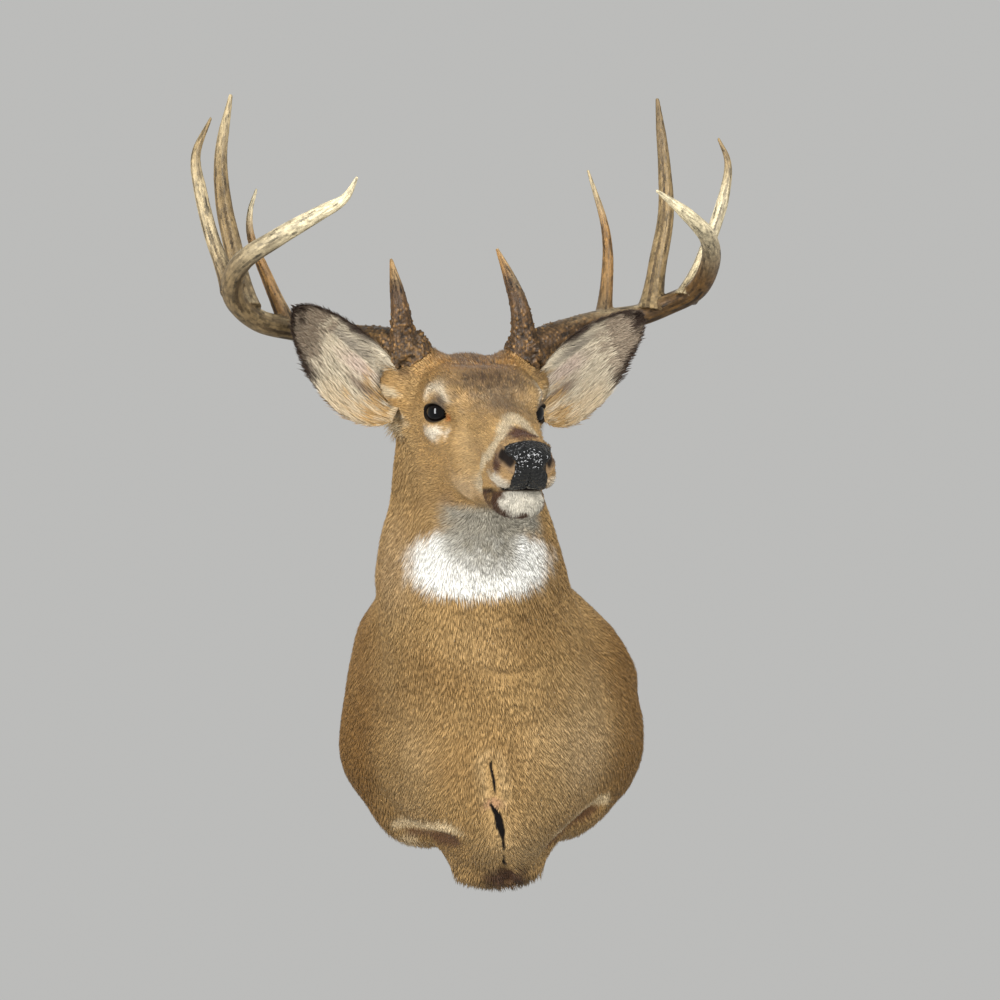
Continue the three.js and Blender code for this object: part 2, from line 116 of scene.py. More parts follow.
# ---------------------------------------------------------------- the flesh
# Each mass is a limb between two points, with half its width and half its height at both ends,
# the radius over which it blends into those before it, the bluntness of its ends, and whether
# the other side has one too.
BODY_MASSES = [
    ((0, 0, -40), (2, 150, -40), (160, 116), (116, 106), 0, 1, False),
    ((-4, -20, 40), (-14, 150, 90), (122, 96), (112, 102), 40, 1, False),
    ((-8, 150, 20), (-24, 222, 160), (110, 93), (114, 98), 60, 1, False),
    ((-24, 222, 160), (-29, 268, 318), (93, 72), (98, 80), 40, 1, False),
    ((-22, 255, 90), (-14, 322, 238), (76, 46), (64, 44), 50, 1, False),
    ((-92, 50, 56), (-107, 68, -50), (51, 52), (76, 70), 110, 1, False),
    ((54, 44, 90), (92, 50, 34), (31, 36), (66, 66), 50, 1, False),
    ((89, 50, 24), (104, 68, -46), (50, 52), (70, 70), 110, 1, False),
    ((-76, 90, -62), (-80, 100, -117), (46, 43), (50, 40), 40, 1, False),
    ((78, 90, -56), (80, 100, -106), (46, 40), (50, 40), 40, 1, False),
    ((0, 212, 20), (4, 190, -96), (90, 64), (70, 68), 70, 1, False),
    ((6, 165, -92), (8, 156, -178), (58, 50), (60, 30), 34, 0.75, False),
]
HEAD_MASSES = [
    ((0, -92, 0), (0, -12, 4), (46, 49), (36, 31), 26, 1, False),
    ((0, -20, 6), (0, 92, -3), (46, 28), (29, 22), 24, 1, False),
    ((0, 84, -9), (0, 158, -9), (30, 27), (25, 22), 20, 1, False),
    ((0, 160, -6), (0, 176, -8), (24, 23), (21, 19), 10, 0.75, False),
    ((15, 118, -28), (15, 167, -25), (18, 15), (15, 12), 12, 1, True),
    ((0, -40, -60), (0, 126, -52), (40, 22), (47, 19), 24, 1, False),
    ((0, 122, -57), (0, 147, -58), (28, 27), (16, 15), 12, 1, False),
    ((28, -46, -34), (24, 48, -36), (22, 20), (42, 34), 26, 1, True),
    ((39, -60, 18), (40, 16, 15), (18, 14), (17, 13), 26, 1, True),
    ((44, -46, -16), (34, 40, -18), (15, 14), (17, 15), 22, 1, True),
    ((40, -78, 20), (48, -84, 28), (20, 19), (20, 19), 16, 1, True),
    ((48, -100, -10), (72, -104, 6), (27, 18), (31, 23), 40, 1, True),
]


def limb_distance(points, start, end, across, width, height, blunt):
    axis = end - start
    length = np.linalg.norm(axis)
    axis = axis / length
    wide = unit(across - axis * (across @ axis))
    over = np.cross(axis, wide)
    offset = points - start
    along = offset @ axis
    share = np.clip(along / length, 0, 1)
    w = width[0] + (width[1] - width[0]) * share
    h = height[0] + (height[1] - height[0]) * share
    end_reach = np.minimum(w, h) * blunt
    x = offset @ wide / w
    y = offset @ over / h
    z = (along - share * length) / end_reach
    near = np.sqrt(x * x + y * y + z * z)
    slope = np.sqrt((x / w) ** 2 + (y / h) ** 2 + (z / end_reach) ** 2)
    return np.where(slope > 1e-9, near * (near - 1) / np.maximum(slope, 1e-9), -end_reach)


def smooth_union(a, b, radius):
    if radius <= 0:
        return np.minimum(a, b)
    h = np.maximum(radius - np.abs(a - b), 0) / radius
    return np.minimum(a, b) - h * h * radius / 4


def flesh_distance(points):
    distance = np.full(len(points), 1e9)
    for masses, place, across in (
        (BODY_MASSES, body_point, ACROSS),
        (HEAD_MASSES, head_point, SIDE),
    ):
        for start, end, width, height, blend, blunt, paired in masses:
            for mirror in (1, -1) if paired else (1,):
                a = place(start[0] * mirror, *start[1:])
                b = place(end[0] * mirror, *end[1:])
                one = limb_distance(points, a, b, across, width, height, blunt)
                distance = smooth_union(distance, one, blend)
    return distance


# ---------------------------------------------------------------- the eyes' places
def eye_frame(out):
    """The ball's centre, and the directions along the lids to the front, over them and outwards."""
    s, f, u = EYE_AT
    centre = head_point(s * out, f, u)
    look = unit(SIDE * out * 0.8 + FORWARD * 0.62)
    over = unit(UP - look * (UP @ look))
    front = np.cross(over, look) * -out
    tilt = math.radians(7)  # the tear corner sits lower than the outer one
    tilted = front * math.cos(tilt) + over * math.sin(tilt)
    return centre, tilted, unit(np.cross(tilted, look) * out), look


def eye_coordinates(points, out):
    """Places along the lids to the front, over them, and outwards, from the ball's centre."""
    centre, front, over, look = eye_frame(out)
    q = points - centre
    return q @ front, q @ over, q @ look


def lid_shape(share):
    """How far the upper and the lower lid stand from the line between the eye's corners, at a
    share of its half length. The upper one is fullest a little towards the front."""
    arch = (1 - share * share) ** 0.75
    return OPENING["upper"] * arch * (1 + 0.12 * share), OPENING["lower"] * arch


def lid_gap(x, y):
    """How far a point lies outside the opening between the lids, less than zero inside it."""
    half = OPENING["half_length"]
    upper, lower = lid_shape(np.clip(x / half, -1, 1))
    past_end = np.maximum(np.abs(x) - half, 0)
    return np.maximum(y - upper, -y - lower) * 0.9 + past_end


# ---------------------------------------------------------------- folds and openings of the skin
def line_distance(points, start, end):
    axis = end - start
    share = np.clip((points - start) @ axis / (axis @ axis), 0, 1)
    return np.linalg.norm(points - start - share[:, None] * axis, axis=1), share


# Lines on the head and body, through stops given in the head's frame, and in the body's with
# y turned to point out from the wall.
MOUTH = [(0, 176, -37), (15, 168, -39), (26, 150, -43), (31, 128, -50), (32, 112, -55)]
NOSTRIL = [(17.5, 184, -10), (21.5, 180, -6.5), (25, 172, -3.5), (26.5, 162, -2)]
BAND = [
    (0, 104, 22),
    (10, 117, 17),
    (20, 134, 8),
    (28, 138, -3),
    (32, 124, -18),
    (30, 101, -38),
    (29, 95, -56),
]
CRACK = [(0, 286, -46), (0, 285, -52), (3, 281, -66), (5, 278, -84)]
SEAM = [
    (0, 272, -94),
    (7, 269, -105),
    (12, 260, -124),
    (14, 246, -142),
    (14, 213, -165),
    (19, 183, -190),
]
# Folds of the body: both ends, the depth and the width, in mm.
CREASES = [
    ((-12, 318, 66), (16, 313, 56), 1.6, 3.0),
    ((16, 312, 58), (50, 294, 60), 0.8, 2.4),
    ((20, 322, 118), (44, 313, 112), 0.8, 2.4),
]
ARMPITS = [
    ((-92, 146, -142), (-44, 232, -136), 13, 10),
    ((70, 188, -142), (118, 144, -116), 13, 10),
]


def path_distance(points, stops, place, mirror=1):
    """The distance to a line through several stops, and how far along it that is, from 0 to 1."""
    best = np.full(len(points), 1e9)
    share = np.zeros(len(points))
    knots = [place(stop[0] * mirror, *stop[1:]) for stop in stops]
    for i in range(len(knots) - 1):
        d, t = line_distance(points, knots[i], knots[i + 1])
        nearer = d < best
        best = np.where(nearer, d, best)
        share = np.where(nearer, (i + t) / (len(knots) - 1), share)
    return best, share


def body_line(points, start, end):
    return line_distance(points, body_point(*start), body_point(*end))


def head_line(points, start, end, out):
    """The distance to a line on one side of the head, its ends given for the other side too."""
    (s0, f0, u0), (s1, f1, u1) = start, end
    return line_distance(points, head_point(s0 * out, f0, u0), head_point(s1 * out, f1, u1))[0]


def nearer_side(points, stops):
    """The distance to a line on the head or to its mirror image, whichever is nearer."""
    left, right = (path_distance(points, stops, head_point, out)[0] for out in (1, -1))
    return np.minimum(left, right)


def face_relief(points):
    """How far the skin of the face sinks below the plain flesh, in mm."""
    s, f, u = head_coordinates(points)
    sink = np.zeros(len(points))
    for out in (1, -1):
        x, y, z = eye_coordinates(points, out)
        gap = lid_gap(x, y)
        ahead = smooth(0, 8, z)
        sink -= 0.9 * hump(gap, 1.8, 1.7) * ahead  # thick rims of the lids
        sink += 1.5 * hump(gap, 6.0, 1.8) * ahead * smooth(0, 4, y)  # crease over the upper lid
        sink += 0.9 * hump(gap, 5.5, 1.6) * ahead * smooth(0, 4, -y)
        sink -= 1.1 * hump(gap, 10.5, 2.6) * ahead * smooth(0, 5, y) * smooth(16, -4, x)
        tear = np.hypot((x - 21) / 8.5, (y + 3.5) / 2.6)
        sink += 2.6 * np.exp(-tear * tear) * ahead  # the tear pit ahead of the eye
        nostril, share = path_distance(points, NOSTRIL, head_point, out)
        sink += 6.0 * np.exp(-((nostril / (4.6 - 1.4 * share)) ** 2))
        rim = hump(nostril, 8.2, 2.2) * smooth(0.0, 0.4, share)
        sink -= 1.3 * rim
        mouth, share = path_distance(points, MOUTH, head_point, out)
        sink += (3.4 - 1.4 * share) * np.exp(-((mouth / (1.7 + 0.5 * share)) ** 2))
        sink -= 0.8 * hump(mouth, 4.2, 1.8)
        wing = head_line(points, (23, 150, 6), (25, 160, -22), out)
        sink += 1.4 * np.exp(-((wing / 3.6) ** 2))  # behind the wing of the nostril
        cheek = head_line(points, (47, 30, -42), (44, -30, -70), out)
        sink += 1.6 * np.exp(-((cheek / 8) ** 2))
        vein = head_line(points, (40, 52, -14), (33, 92, -20), out)
        sink -= 0.9 * np.exp(-((vein / 3.0) ** 2))
    groove = np.exp(-((s / 1.6) ** 2)) * smooth(-10, -18, u) * smooth(160, 168, f)
    sink += 1.9 * groove * smooth(-42, -36, u)  # the cleft under the nose
    sink += 1.2 * hump(s, 0, 7) * smooth(60, 30, f) * smooth(-30, 10, f) * smooth(20, 28, u)
    return sink


def body_relief(points):
    sink = np.zeros(len(points))
    seam, share = path_distance(points, SEAM, body_point)
    sink += (2.5 + 6.5 * hump(share, 0.35, 0.3)) * np.exp(-((seam / 3.6) ** 2))
    sink -= 2.4 * hump(seam, 11, 6) * smooth(0.0, 0.3, share)
    crack, _ = path_distance(points, CRACK, body_point)
    sink += 2.4 * np.exp(-((crack / 2.6) ** 2)) - 1.2 * hump(crack, 8, 5)
    for start, end, depth, width in CREASES + ARMPITS:
        fold, _ = body_line(points, start, end)
        sink += depth * np.exp(-((fold / width) ** 2))
    x, y = points[:, 0], points[:, 1]
    hem = smooth(-110, -40, y) * smooth(120, 150, x)
    sink += 1.8 * hem * waver(points, 60, 6)  # the hide dried uneven on this side
    return sink + 1.1 * waver(points, 120, 3) + 0.35 * waver(points, 38, 4)


def skin_distance(points):
    """Roughly the distance from points to the skin, less than zero inside it."""
    distance = flesh_distance(points)
    for out in (1, -1):
        centre, front, _, look = eye_frame(out)
        dish_centre = centre + look * SOCKET["away"] + front * SOCKET["ahead"]
        dish = np.linalg.norm(points - dish_centre, axis=1) - SOCKET["radius"]
        distance = -smooth_union(-distance, dish, SOCKET["blend"])
        ball = np.linalg.norm(points - centre, axis=1) - EYE_RADIUS - LID_THICKNESS
        distance = smooth_union(distance, ball, 6)
    _, f, u = head_coordinates(points)
    on_head = smooth(-150, -100, f + 0.2 * u)
    near = np.abs(distance) < 25
    sink = np.zeros(len(points))
    face = near & (on_head > 0)
    body = near & (on_head < 1)
    sink[face] += face_relief(points[face]) * on_head[face]
    sink[body] += body_relief(points[body]) * (1 - on_head[body])
    return np.maximum(distance + sink, points[:, 1] + HIDE_BACK)


# ---------------------------------------------------------------- making a surface
def surface_net(distance, low, high, cell):
    """One vertex in each cell that the surface crosses, and a four-sided face round each edge."""
    low = np.array(low, float)
    counts = np.ceil((np.array(high) - low) / cell).astype(int) + 1
    stride = 4
    coarse = [low[i] + cell * np.arange(0, counts[i] + stride, stride) for i in range(3)]
    mesh = np.stack(np.meshgrid(*coarse, indexing="ij"), -1)
    rough = distance(mesh.reshape(-1, 3)).reshape(mesh.shape[:3])
    nearest = [np.rint(np.arange(counts[i]) / stride).astype(int) for i in range(3)]
    field = rough[np.ix_(*nearest)]
    close = np.argwhere(np.abs(field) < cell * stride * 2.2)
    field[tuple(close.T)] = distance(low + close * cell)
    cells, sums, faces = [], [], []
    for a in range(3):
        b, c = (a + 1) % 3, (a + 2) % 3
        first = np.take(field, range(counts[a] - 1), a)
        second = np.take(field, range(1, counts[a]), a)
        where = np.argwhere((first < 0) != (second < 0))
        f0, f1 = first[tuple(where.T)], second[tuple(where.T)]
        crossing = where.astype(float)
        crossing[:, a] += f0 / (f0 - f1)
        corners = []
        for step_b, step_c in ((-1, -1), (0, -1), (0, 0), (-1, 0)):
            cell_at = where.copy()
            cell_at[:, b] += step_b
            cell_at[:, c] += step_c
            corners.append(np.ravel_multi_index(tuple(cell_at.T), counts))
            cells.append(corners[-1])
            sums.append(crossing)
        quad = np.stack(corners, 1)
        faces.append(np.where((f0 < 0)[:, None], quad, quad[:, ::-1]))
    cells = np.concatenate(cells)
    sums = np.concatenate(sums)
    names, index = np.unique(cells, return_inverse=True)
    points = np.stack([np.bincount(index, sums[:, i]) for i in range(3)], 1)
    points /= np.bincount(index)[:, None]
    return low + points * cell, np.searchsorted(names, np.concatenate(faces))


def settle(points, distance):
    """Moves points on to the surface, down the slope of the distance."""
    step, reach = 0.4, 1.5  # how far the slope is felt, and the most a point moves at a time
    for _ in range(2):
        d = distance(points)
        slope = np.stack(
            [(distance(points + step * axis) - d) / step for axis in np.eye(3)], 1
        )
        steep = np.maximum((slope * slope).sum(1), 0.25)
        move = -slope * (d / steep)[:, None]
        size = np.linalg.norm(move, axis=1, keepdims=True)
        points = points + move * np.minimum(1, reach / np.maximum(size, 1e-9))
    return points


# ---------------------------------------------------------------- meshes
def mesh_object(name, points, faces):
    """A piece made from points in millimetres, linked to the scene."""
    mesh = bpy.data.meshes.new(name)
    mesh.from_pydata((np.asarray(points) * MM).tolist(), [], [tuple(face) for face in faces])
    mesh.update()
    piece = bpy.data.objects.new(name, mesh)
    bpy.context.scene.collection.objects.link(piece)
    return piece


def read_vectors(items, name):
    flat = np.zeros(len(items) * 3, np.float32)
    items.foreach_get(name, flat)
    return flat.reshape(-1, 3).astype(float)


def places(mesh):
    """The mesh's corners in millimetres."""
    return read_vectors(mesh.vertices, "co") / MM


def put_places(mesh, points):
    mesh.vertices.foreach_set("co", (points * MM).astype(np.float32).ravel())
    mesh.update()


def normals(mesh):
    return read_vectors(mesh.vertices, "normal")


def face_centres(mesh):
    return read_vectors(mesh.polygons, "center") / MM


def tube_faces(rings, around):
    """The four-sided faces between rings that each have as many corners around."""
    faces = []
    for row in range(0, (rings - 1) * around, around):
        for j in range(around):
            k = (j + 1) % around
            faces.append((row + j, row + k, row + around + k, row + around + j))
    return faces


def divide(piece, wanted):
    """Splits the four-sided faces whose centres are wanted into four."""
    chosen = wanted(face_centres(piece.data))
    work = bmesh.new()
    work.from_mesh(piece.data)
    edges = {
        edge
        for face, take in zip(work.faces, chosen)
        if take and len(face.verts) == 4
        for edge in face.edges
    }
    bmesh.ops.subdivide_edges(work, edges=list(edges), cuts=1, use_grid_fill=True)
    work.to_mesh(piece.data)
    work.free()


def combine(piece, other, operation):
    """Joins another closed shape to a piece, or cuts it away, and removes the other."""
    step = piece.modifiers.new("combine", "BOOLEAN")
    step.object = other
    step.operation = operation
    step.solver = "MANIFOLD"
    finished(piece)
    bpy.data.objects.remove(other)


def finished(piece):
    """Turns a piece's live modifiers into its plain mesh."""
    evaluated = piece.evaluated_get(bpy.context.evaluated_depsgraph_get())
    made = bpy.data.meshes.new_from_object(evaluated)
    old = piece.data
    piece.modifiers.clear()
    piece.data = made
    bpy.data.meshes.remove(old)
    return piece


def put(mesh, name, kind, values):
    """Stores one value for each corner of a mesh under a name."""
    field = {"FLOAT": "value", "FLOAT_COLOR": "color"}.get(kind, "vector")
    made = mesh.attributes.new(name, kind, "POINT")
    made.data.foreach_set(field, np.asarray(values, np.float32).ravel())


def put_colour(mesh, name, tones):
    put(mesh, name, "FLOAT_COLOR", np.c_[tones, np.ones(len(tones))])


# ---------------------------------------------------------------- ears
def ear_axes(out):
    base = head_point(EAR["base"][0] * out, *EAR["base"][1:])
    tip = head_point(EAR["tip"][0] * out, *EAR["tip"][1:])
    axis = tip - base
    facing = unit(FORWARD - axis * (FORWARD @ axis) / (axis @ axis))
    wide = unit(np.cross(facing, axis))
    return base, axis, facing, wide if wide[2] > 0 else -wide


def ear_surface(out, share, a, half_side):
    """A place on the cupped leaf: a share of its length, a from -1 on the lower rim to 1 on the
    upper one, and which side, from -1 at the back to 1 in the bowl."""
    base, axis, facing, wide = ear_axes(out)
    lower = EAR["lower"] * np.sin(math.pi * share**0.608) ** 0.6
    upper = EAR["upper"] * np.sin(math.pi * share) ** 0.45
    cup = EAR["cup"] * (1 - 0.78 * share) * a * a
    bow = -EAR["bow"] * np.sin(math.pi * share)
    half = EAR["thickness"] / 2 * (0.35 + 0.65 * np.sqrt(np.sin(math.pi * share)))
    ribs = np.cos(a * 11 + 1.5 * share) * np.clip(half_side, 0, 1)
    ribs = 1.1 * ribs * np.sin(math.pi * share) * (1 - a * a)
    rim = np.hypot(a, half_side)
    across = np.where(a > 0, upper, lower) * a
    deep = (cup + bow) * np.minimum(rim, 1) + half_side * half + ribs
    return (
        base
        + share[..., None] * axis
        + across[..., None] * wide
        + deep[..., None] * facing
    )


EAR_AROUND = 112
EAR_ALONG = 64


def make_ear(out):
    """The ear's closed shell, and for each of its corners the share, a and side."""
    turn = np.linspace(0, 2 * math.pi, EAR_AROUND, endpoint=False)
    shares = 0.02 + 0.975 * np.linspace(0, 1, EAR_ALONG)
    share, angle = np.meshgrid(shares, turn, indexing="ij")
    a, half_side = np.cos(angle), np.sin(angle)
    ring = ear_surface(out, share, a, half_side).reshape(-1, 3)
    facts = np.stack([share, a, half_side], -1).reshape(-1, 3)
    ends = np.stack([ring[:EAR_AROUND].mean(0), ring[-EAR_AROUND:].mean(0)])
    points = np.concatenate([ring, ends])
    facts = np.concatenate([facts, [[0.02, 0, 0], [1, 0, 0]]])
    faces = tube_faces(EAR_ALONG, EAR_AROUND)
    last = (EAR_ALONG - 1) * EAR_AROUND
    for j in range(EAR_AROUND):
        k = (j + 1) % EAR_AROUND
        faces.append((len(ring), k, j))
        faces.append((len(ring) + 1, last + j, last + k))
    piece = mesh_object("ear", points, faces)
    if volume(points, faces) < 0:
        piece.data.flip_normals()
    return piece, points, facts


def place_finder(points):
    """Finds the nearest of many points to a place."""
    tree = KDTree(len(points))
    for i, point in enumerate(points):
        tree.insert(point, i)
    tree.balance()
    return tree


def volume(points, faces):
    """The volume inside closed faces, times six, less than zero when they face inwards."""
    total = 0.0
    points = np.asarray(points) - np.mean(points, 0)
    for count in (3, 4):
        some = np.array([face for face in faces if len(face) == count])
        if not len(some):
            continue
        for i in range(1, count - 1):
            a, b, c = (points[some[:, j]] for j in (0, i, i + 1))
            total += np.einsum("ij,ij->", a, np.cross(b, c))
    return total


# ---------------------------------------------------------------- the one skin
SKIN_CELL = 4.7
SKIN_BOX = (-200, -640, -235), (200, 8, 425)
BOARD_PLAY = 0.8
POCKET_DEPTH = 19.5
POCKET_PAST_WALL = 30


def wants_finer_head(points):
    s, f, u = head_coordinates(points)
    return (f > -118) & (np.abs(s) < 105) & (u > -105) & (u + 0.75 * f > -125)


def wants_finest_face(points):
    _, f, u = head_coordinates(points)
    near = (f > 108) & (u > -75)
    for out in (1, -1):
        near |= np.linalg.norm(points - eye_frame(out)[0], axis=1) < 31
    return near


def seam_distance(points):
    """The distance to the stitched seam or to the crack above it, whichever is nearer."""
    seam, _ = path_distance(points, SEAM, body_point)
    crack, _ = path_distance(points, CRACK, body_point)
    return np.minimum(seam, crack)


def wants_finer_seam(points):
    return seam_distance(points) < 13


def wants_finest_seam(points):
    return seam_distance(points) < 8


def prism(name, outline, low, high, flare=1.0):
    """A closed solid between two copies of an outline, the further one larger by the flare."""
    count = len(outline)
    middle = outline.mean(0)
    wider = middle + (outline - middle) * flare
    points = np.concatenate([outline + low, wider + high])
    faces = [tuple(range(count))[::-1], tuple(range(count, 2 * count))]
    for i in range(count):
        j = (i + 1) % count
        faces.append((i, j, count + j, count + i))
    piece = mesh_object(name, points, faces)
    if volume(points, [f for f in faces if len(f) == 4]) < 0:
        piece.data.flip_normals()
    return piece


LID_CUT = {"steps": 96, "share": 0.93, "from": 4, "to": 34, "flare": 1.7}


def lid_opening(out):
    """The solid that cuts the opening between the lids, a little smaller than their rims."""
    centre, front, over, look = eye_frame(out)
    turn = np.linspace(0, 2 * math.pi, LID_CUT["steps"], endpoint=False)
    share = np.cos(turn)
    upper, lower = lid_shape(share)
    height = np.where(np.sin(turn) > 0, upper, -lower)
    rim = (share * OPENING["half_length"])[:, None] * front + height[:, None] * over
    low, high = look * LID_CUT["from"], look * LID_CUT["to"]
    return prism("lid_opening", centre + rim * LID_CUT["share"], low, high, LID_CUT["flare"])


def board_outline(grow, steps=24):
    """The board's outline in the plane of the wall, grown by so many mm."""
    w = BOARD["half_width"] + grow
    h = BOARD["half_height"] + grow
    curves = [
        ((0, -h), (w * 0.62, -h), (w, -h * 0.72), (w, -h * 0.2)),
        ((w, -h * 0.2), (w, h * 0.45), (w * 0.6, h), (0, h)),
        ((0, h), (-w * 0.6, h), (-w, h * 0.45), (-w, -h * 0.2)),
        ((-w, -h * 0.2), (-w, -h * 0.72), (-w * 0.62, -h), (0, -h)),
    ]
    t = np.linspace(0, 1, steps, endpoint=False)[:, None]
    flat = np.concatenate(
        [
            (1 - t) ** 3 * a + 3 * (1 - t) ** 2 * t * b + 3 * (1 - t) * t**2 * c + t**3 * d
            for a, b, c, d in (map(np.array, curve) for curve in curves)
        ]
    )
    return np.stack([flat[:, 0], 0 * flat[:, 0], flat[:, 1]], 1)


def make_skin():
    points, faces = surface_net(skin_distance, *SKIN_BOX, SKIN_CELL)
    points = settle(points, skin_distance)
    skin = mesh_object("skin", points, faces)
    for wanted in (wants_finer_head, wants_finest_face, wants_finer_seam, wants_finest_seam):
        divide(skin, wanted)
        put_places(skin.data, settle(places(skin.data), skin_distance))
    for out in (1, -1):
        combine(skin, lid_opening(out), "DIFFERENCE")
    deep, past = INTO_WALL * -POCKET_DEPTH, INTO_WALL * POCKET_PAST_WALL
    pocket = prism("pocket", board_outline(BOARD_PLAY), deep, past)
    combine(skin, pocket, "DIFFERENCE")
    ear_facts = {}
    for out in (1, -1):
        ear, corners, facts = make_ear(out)
        ear_facts[out] = (place_finder(corners), facts)
        combine(skin, ear, "UNION")
    return skin, ear_facts


# ---------------------------------------------------------------- colours of the coat
def colour(code):
    """The linear value of an sRGB hex colour."""
    parts = [int(code[i : i + 2], 16) / 255 for i in (1, 3, 5)]
    return np.array([c / 12.92 if c <= 0.04045 else ((c + 0.055) / 1.055) ** 2.4 for c in parts])


TAN = colour("#b3915e")
DEEP_TAN = colour("#977444")
PALE_TAN = colour("#c8a877")
GREY_BROWN = colour("#8d7150")
DARK_BROWN = colour("#4b3424")
RUST = colour("#a97a3e")
RED_BROWN = colour("#553828")
CREAM = colour("#c6b393")
FOLD_CREAM = colour("#d8bc95")
EAR_TUFT = colour("#dfd0b0")
PIT_FOLD = colour("#ecd3a8")
UNDER_EYE = colour("#f6ead4")
LIP_GREY = colour("#c9c0ae")
PIT_BROWN = colour("#5f4129")
WHORL_PINK = colour("#a87e5f")
WHITE = colour("#fdfbf4")
LID_GREY = colour("#675a4d")
# pale fur greyed with painted shade, for the throat and under the jaw and chin
PALE_FUR_IN_PAINTED_SHADE = colour("#a8a191")
EAR_SKIN = colour("#bda99c")
EAR_GREY = colour("#8d8475")
EAR_CREAM = colour("#c6baa3")
EAR_GRIZZLE = colour("#857462")
EAR_BACK = colour("#7d6549")
RIM_BROWN = colour("#382b22")
BLACK_SKIN = colour("#17120f")
SEAM_DARK = colour("#0d0806")
CHEEK_GOLD = colour("#c39c63")
BROW_CREAM = colour("#ecdcc0")
LIP_WHITE = colour("#cfc8b8")
NOSTRIL_GREY = colour("#75604a")
# near-black for the nostril's dark skin and the painted shade of its opening
NOSTRIL_SKIN_AND_SHADE = colour("#1c1511")
TEAR_RUST = colour("#a9692f")
# rusty brown used as painted shade on the body's sides and lower left chest
PAINTED_SHADE_BROWN = colour("#8a6534")


def paint(base, mask, tone):
    """Lays a tone over the colours where the mask is 1."""
    return base + (tone - base) * np.clip(mask, 0, 1)[:, None]


def spot(points, centre, radii, soft, wobble=0.0):
    """A soft-edged patch: 1 at its middle and 0 beyond its radii along s, f and u."""
    away = np.sqrt(sum(((p - c) / r) ** 2 for p, c, r in zip(points, centre, radii)))
    return 1 - smooth(1 - soft, 1 + soft * 0.4, away + wobble)


def paint_patches(tones, patches):
    """Lays on soft-edged patches: where, centre, radii, softness, wobble, strength, tone."""
    for where, centre, radii, soft, wobble, strength, tone in patches:
        tones = paint(tones, spot(where, centre, radii, soft, wobble) * strength, tone)
    return tones


def mouth_height(f):
    """How high the line of the mouth runs at each place along the head."""
    return -37 - 0.28 * (176 - f)


def lip_edge(points):
    """1 on the black underside of the upper lip, between the nose and the mouth."""
    s, f, u = head_coordinates(points)
    above = smooth(-1.0, 1.0, u - mouth_height(f)) * smooth(-32, -36, u)
    return above * smooth(24, 19, np.abs(s)) * smooth(138, 148, f)


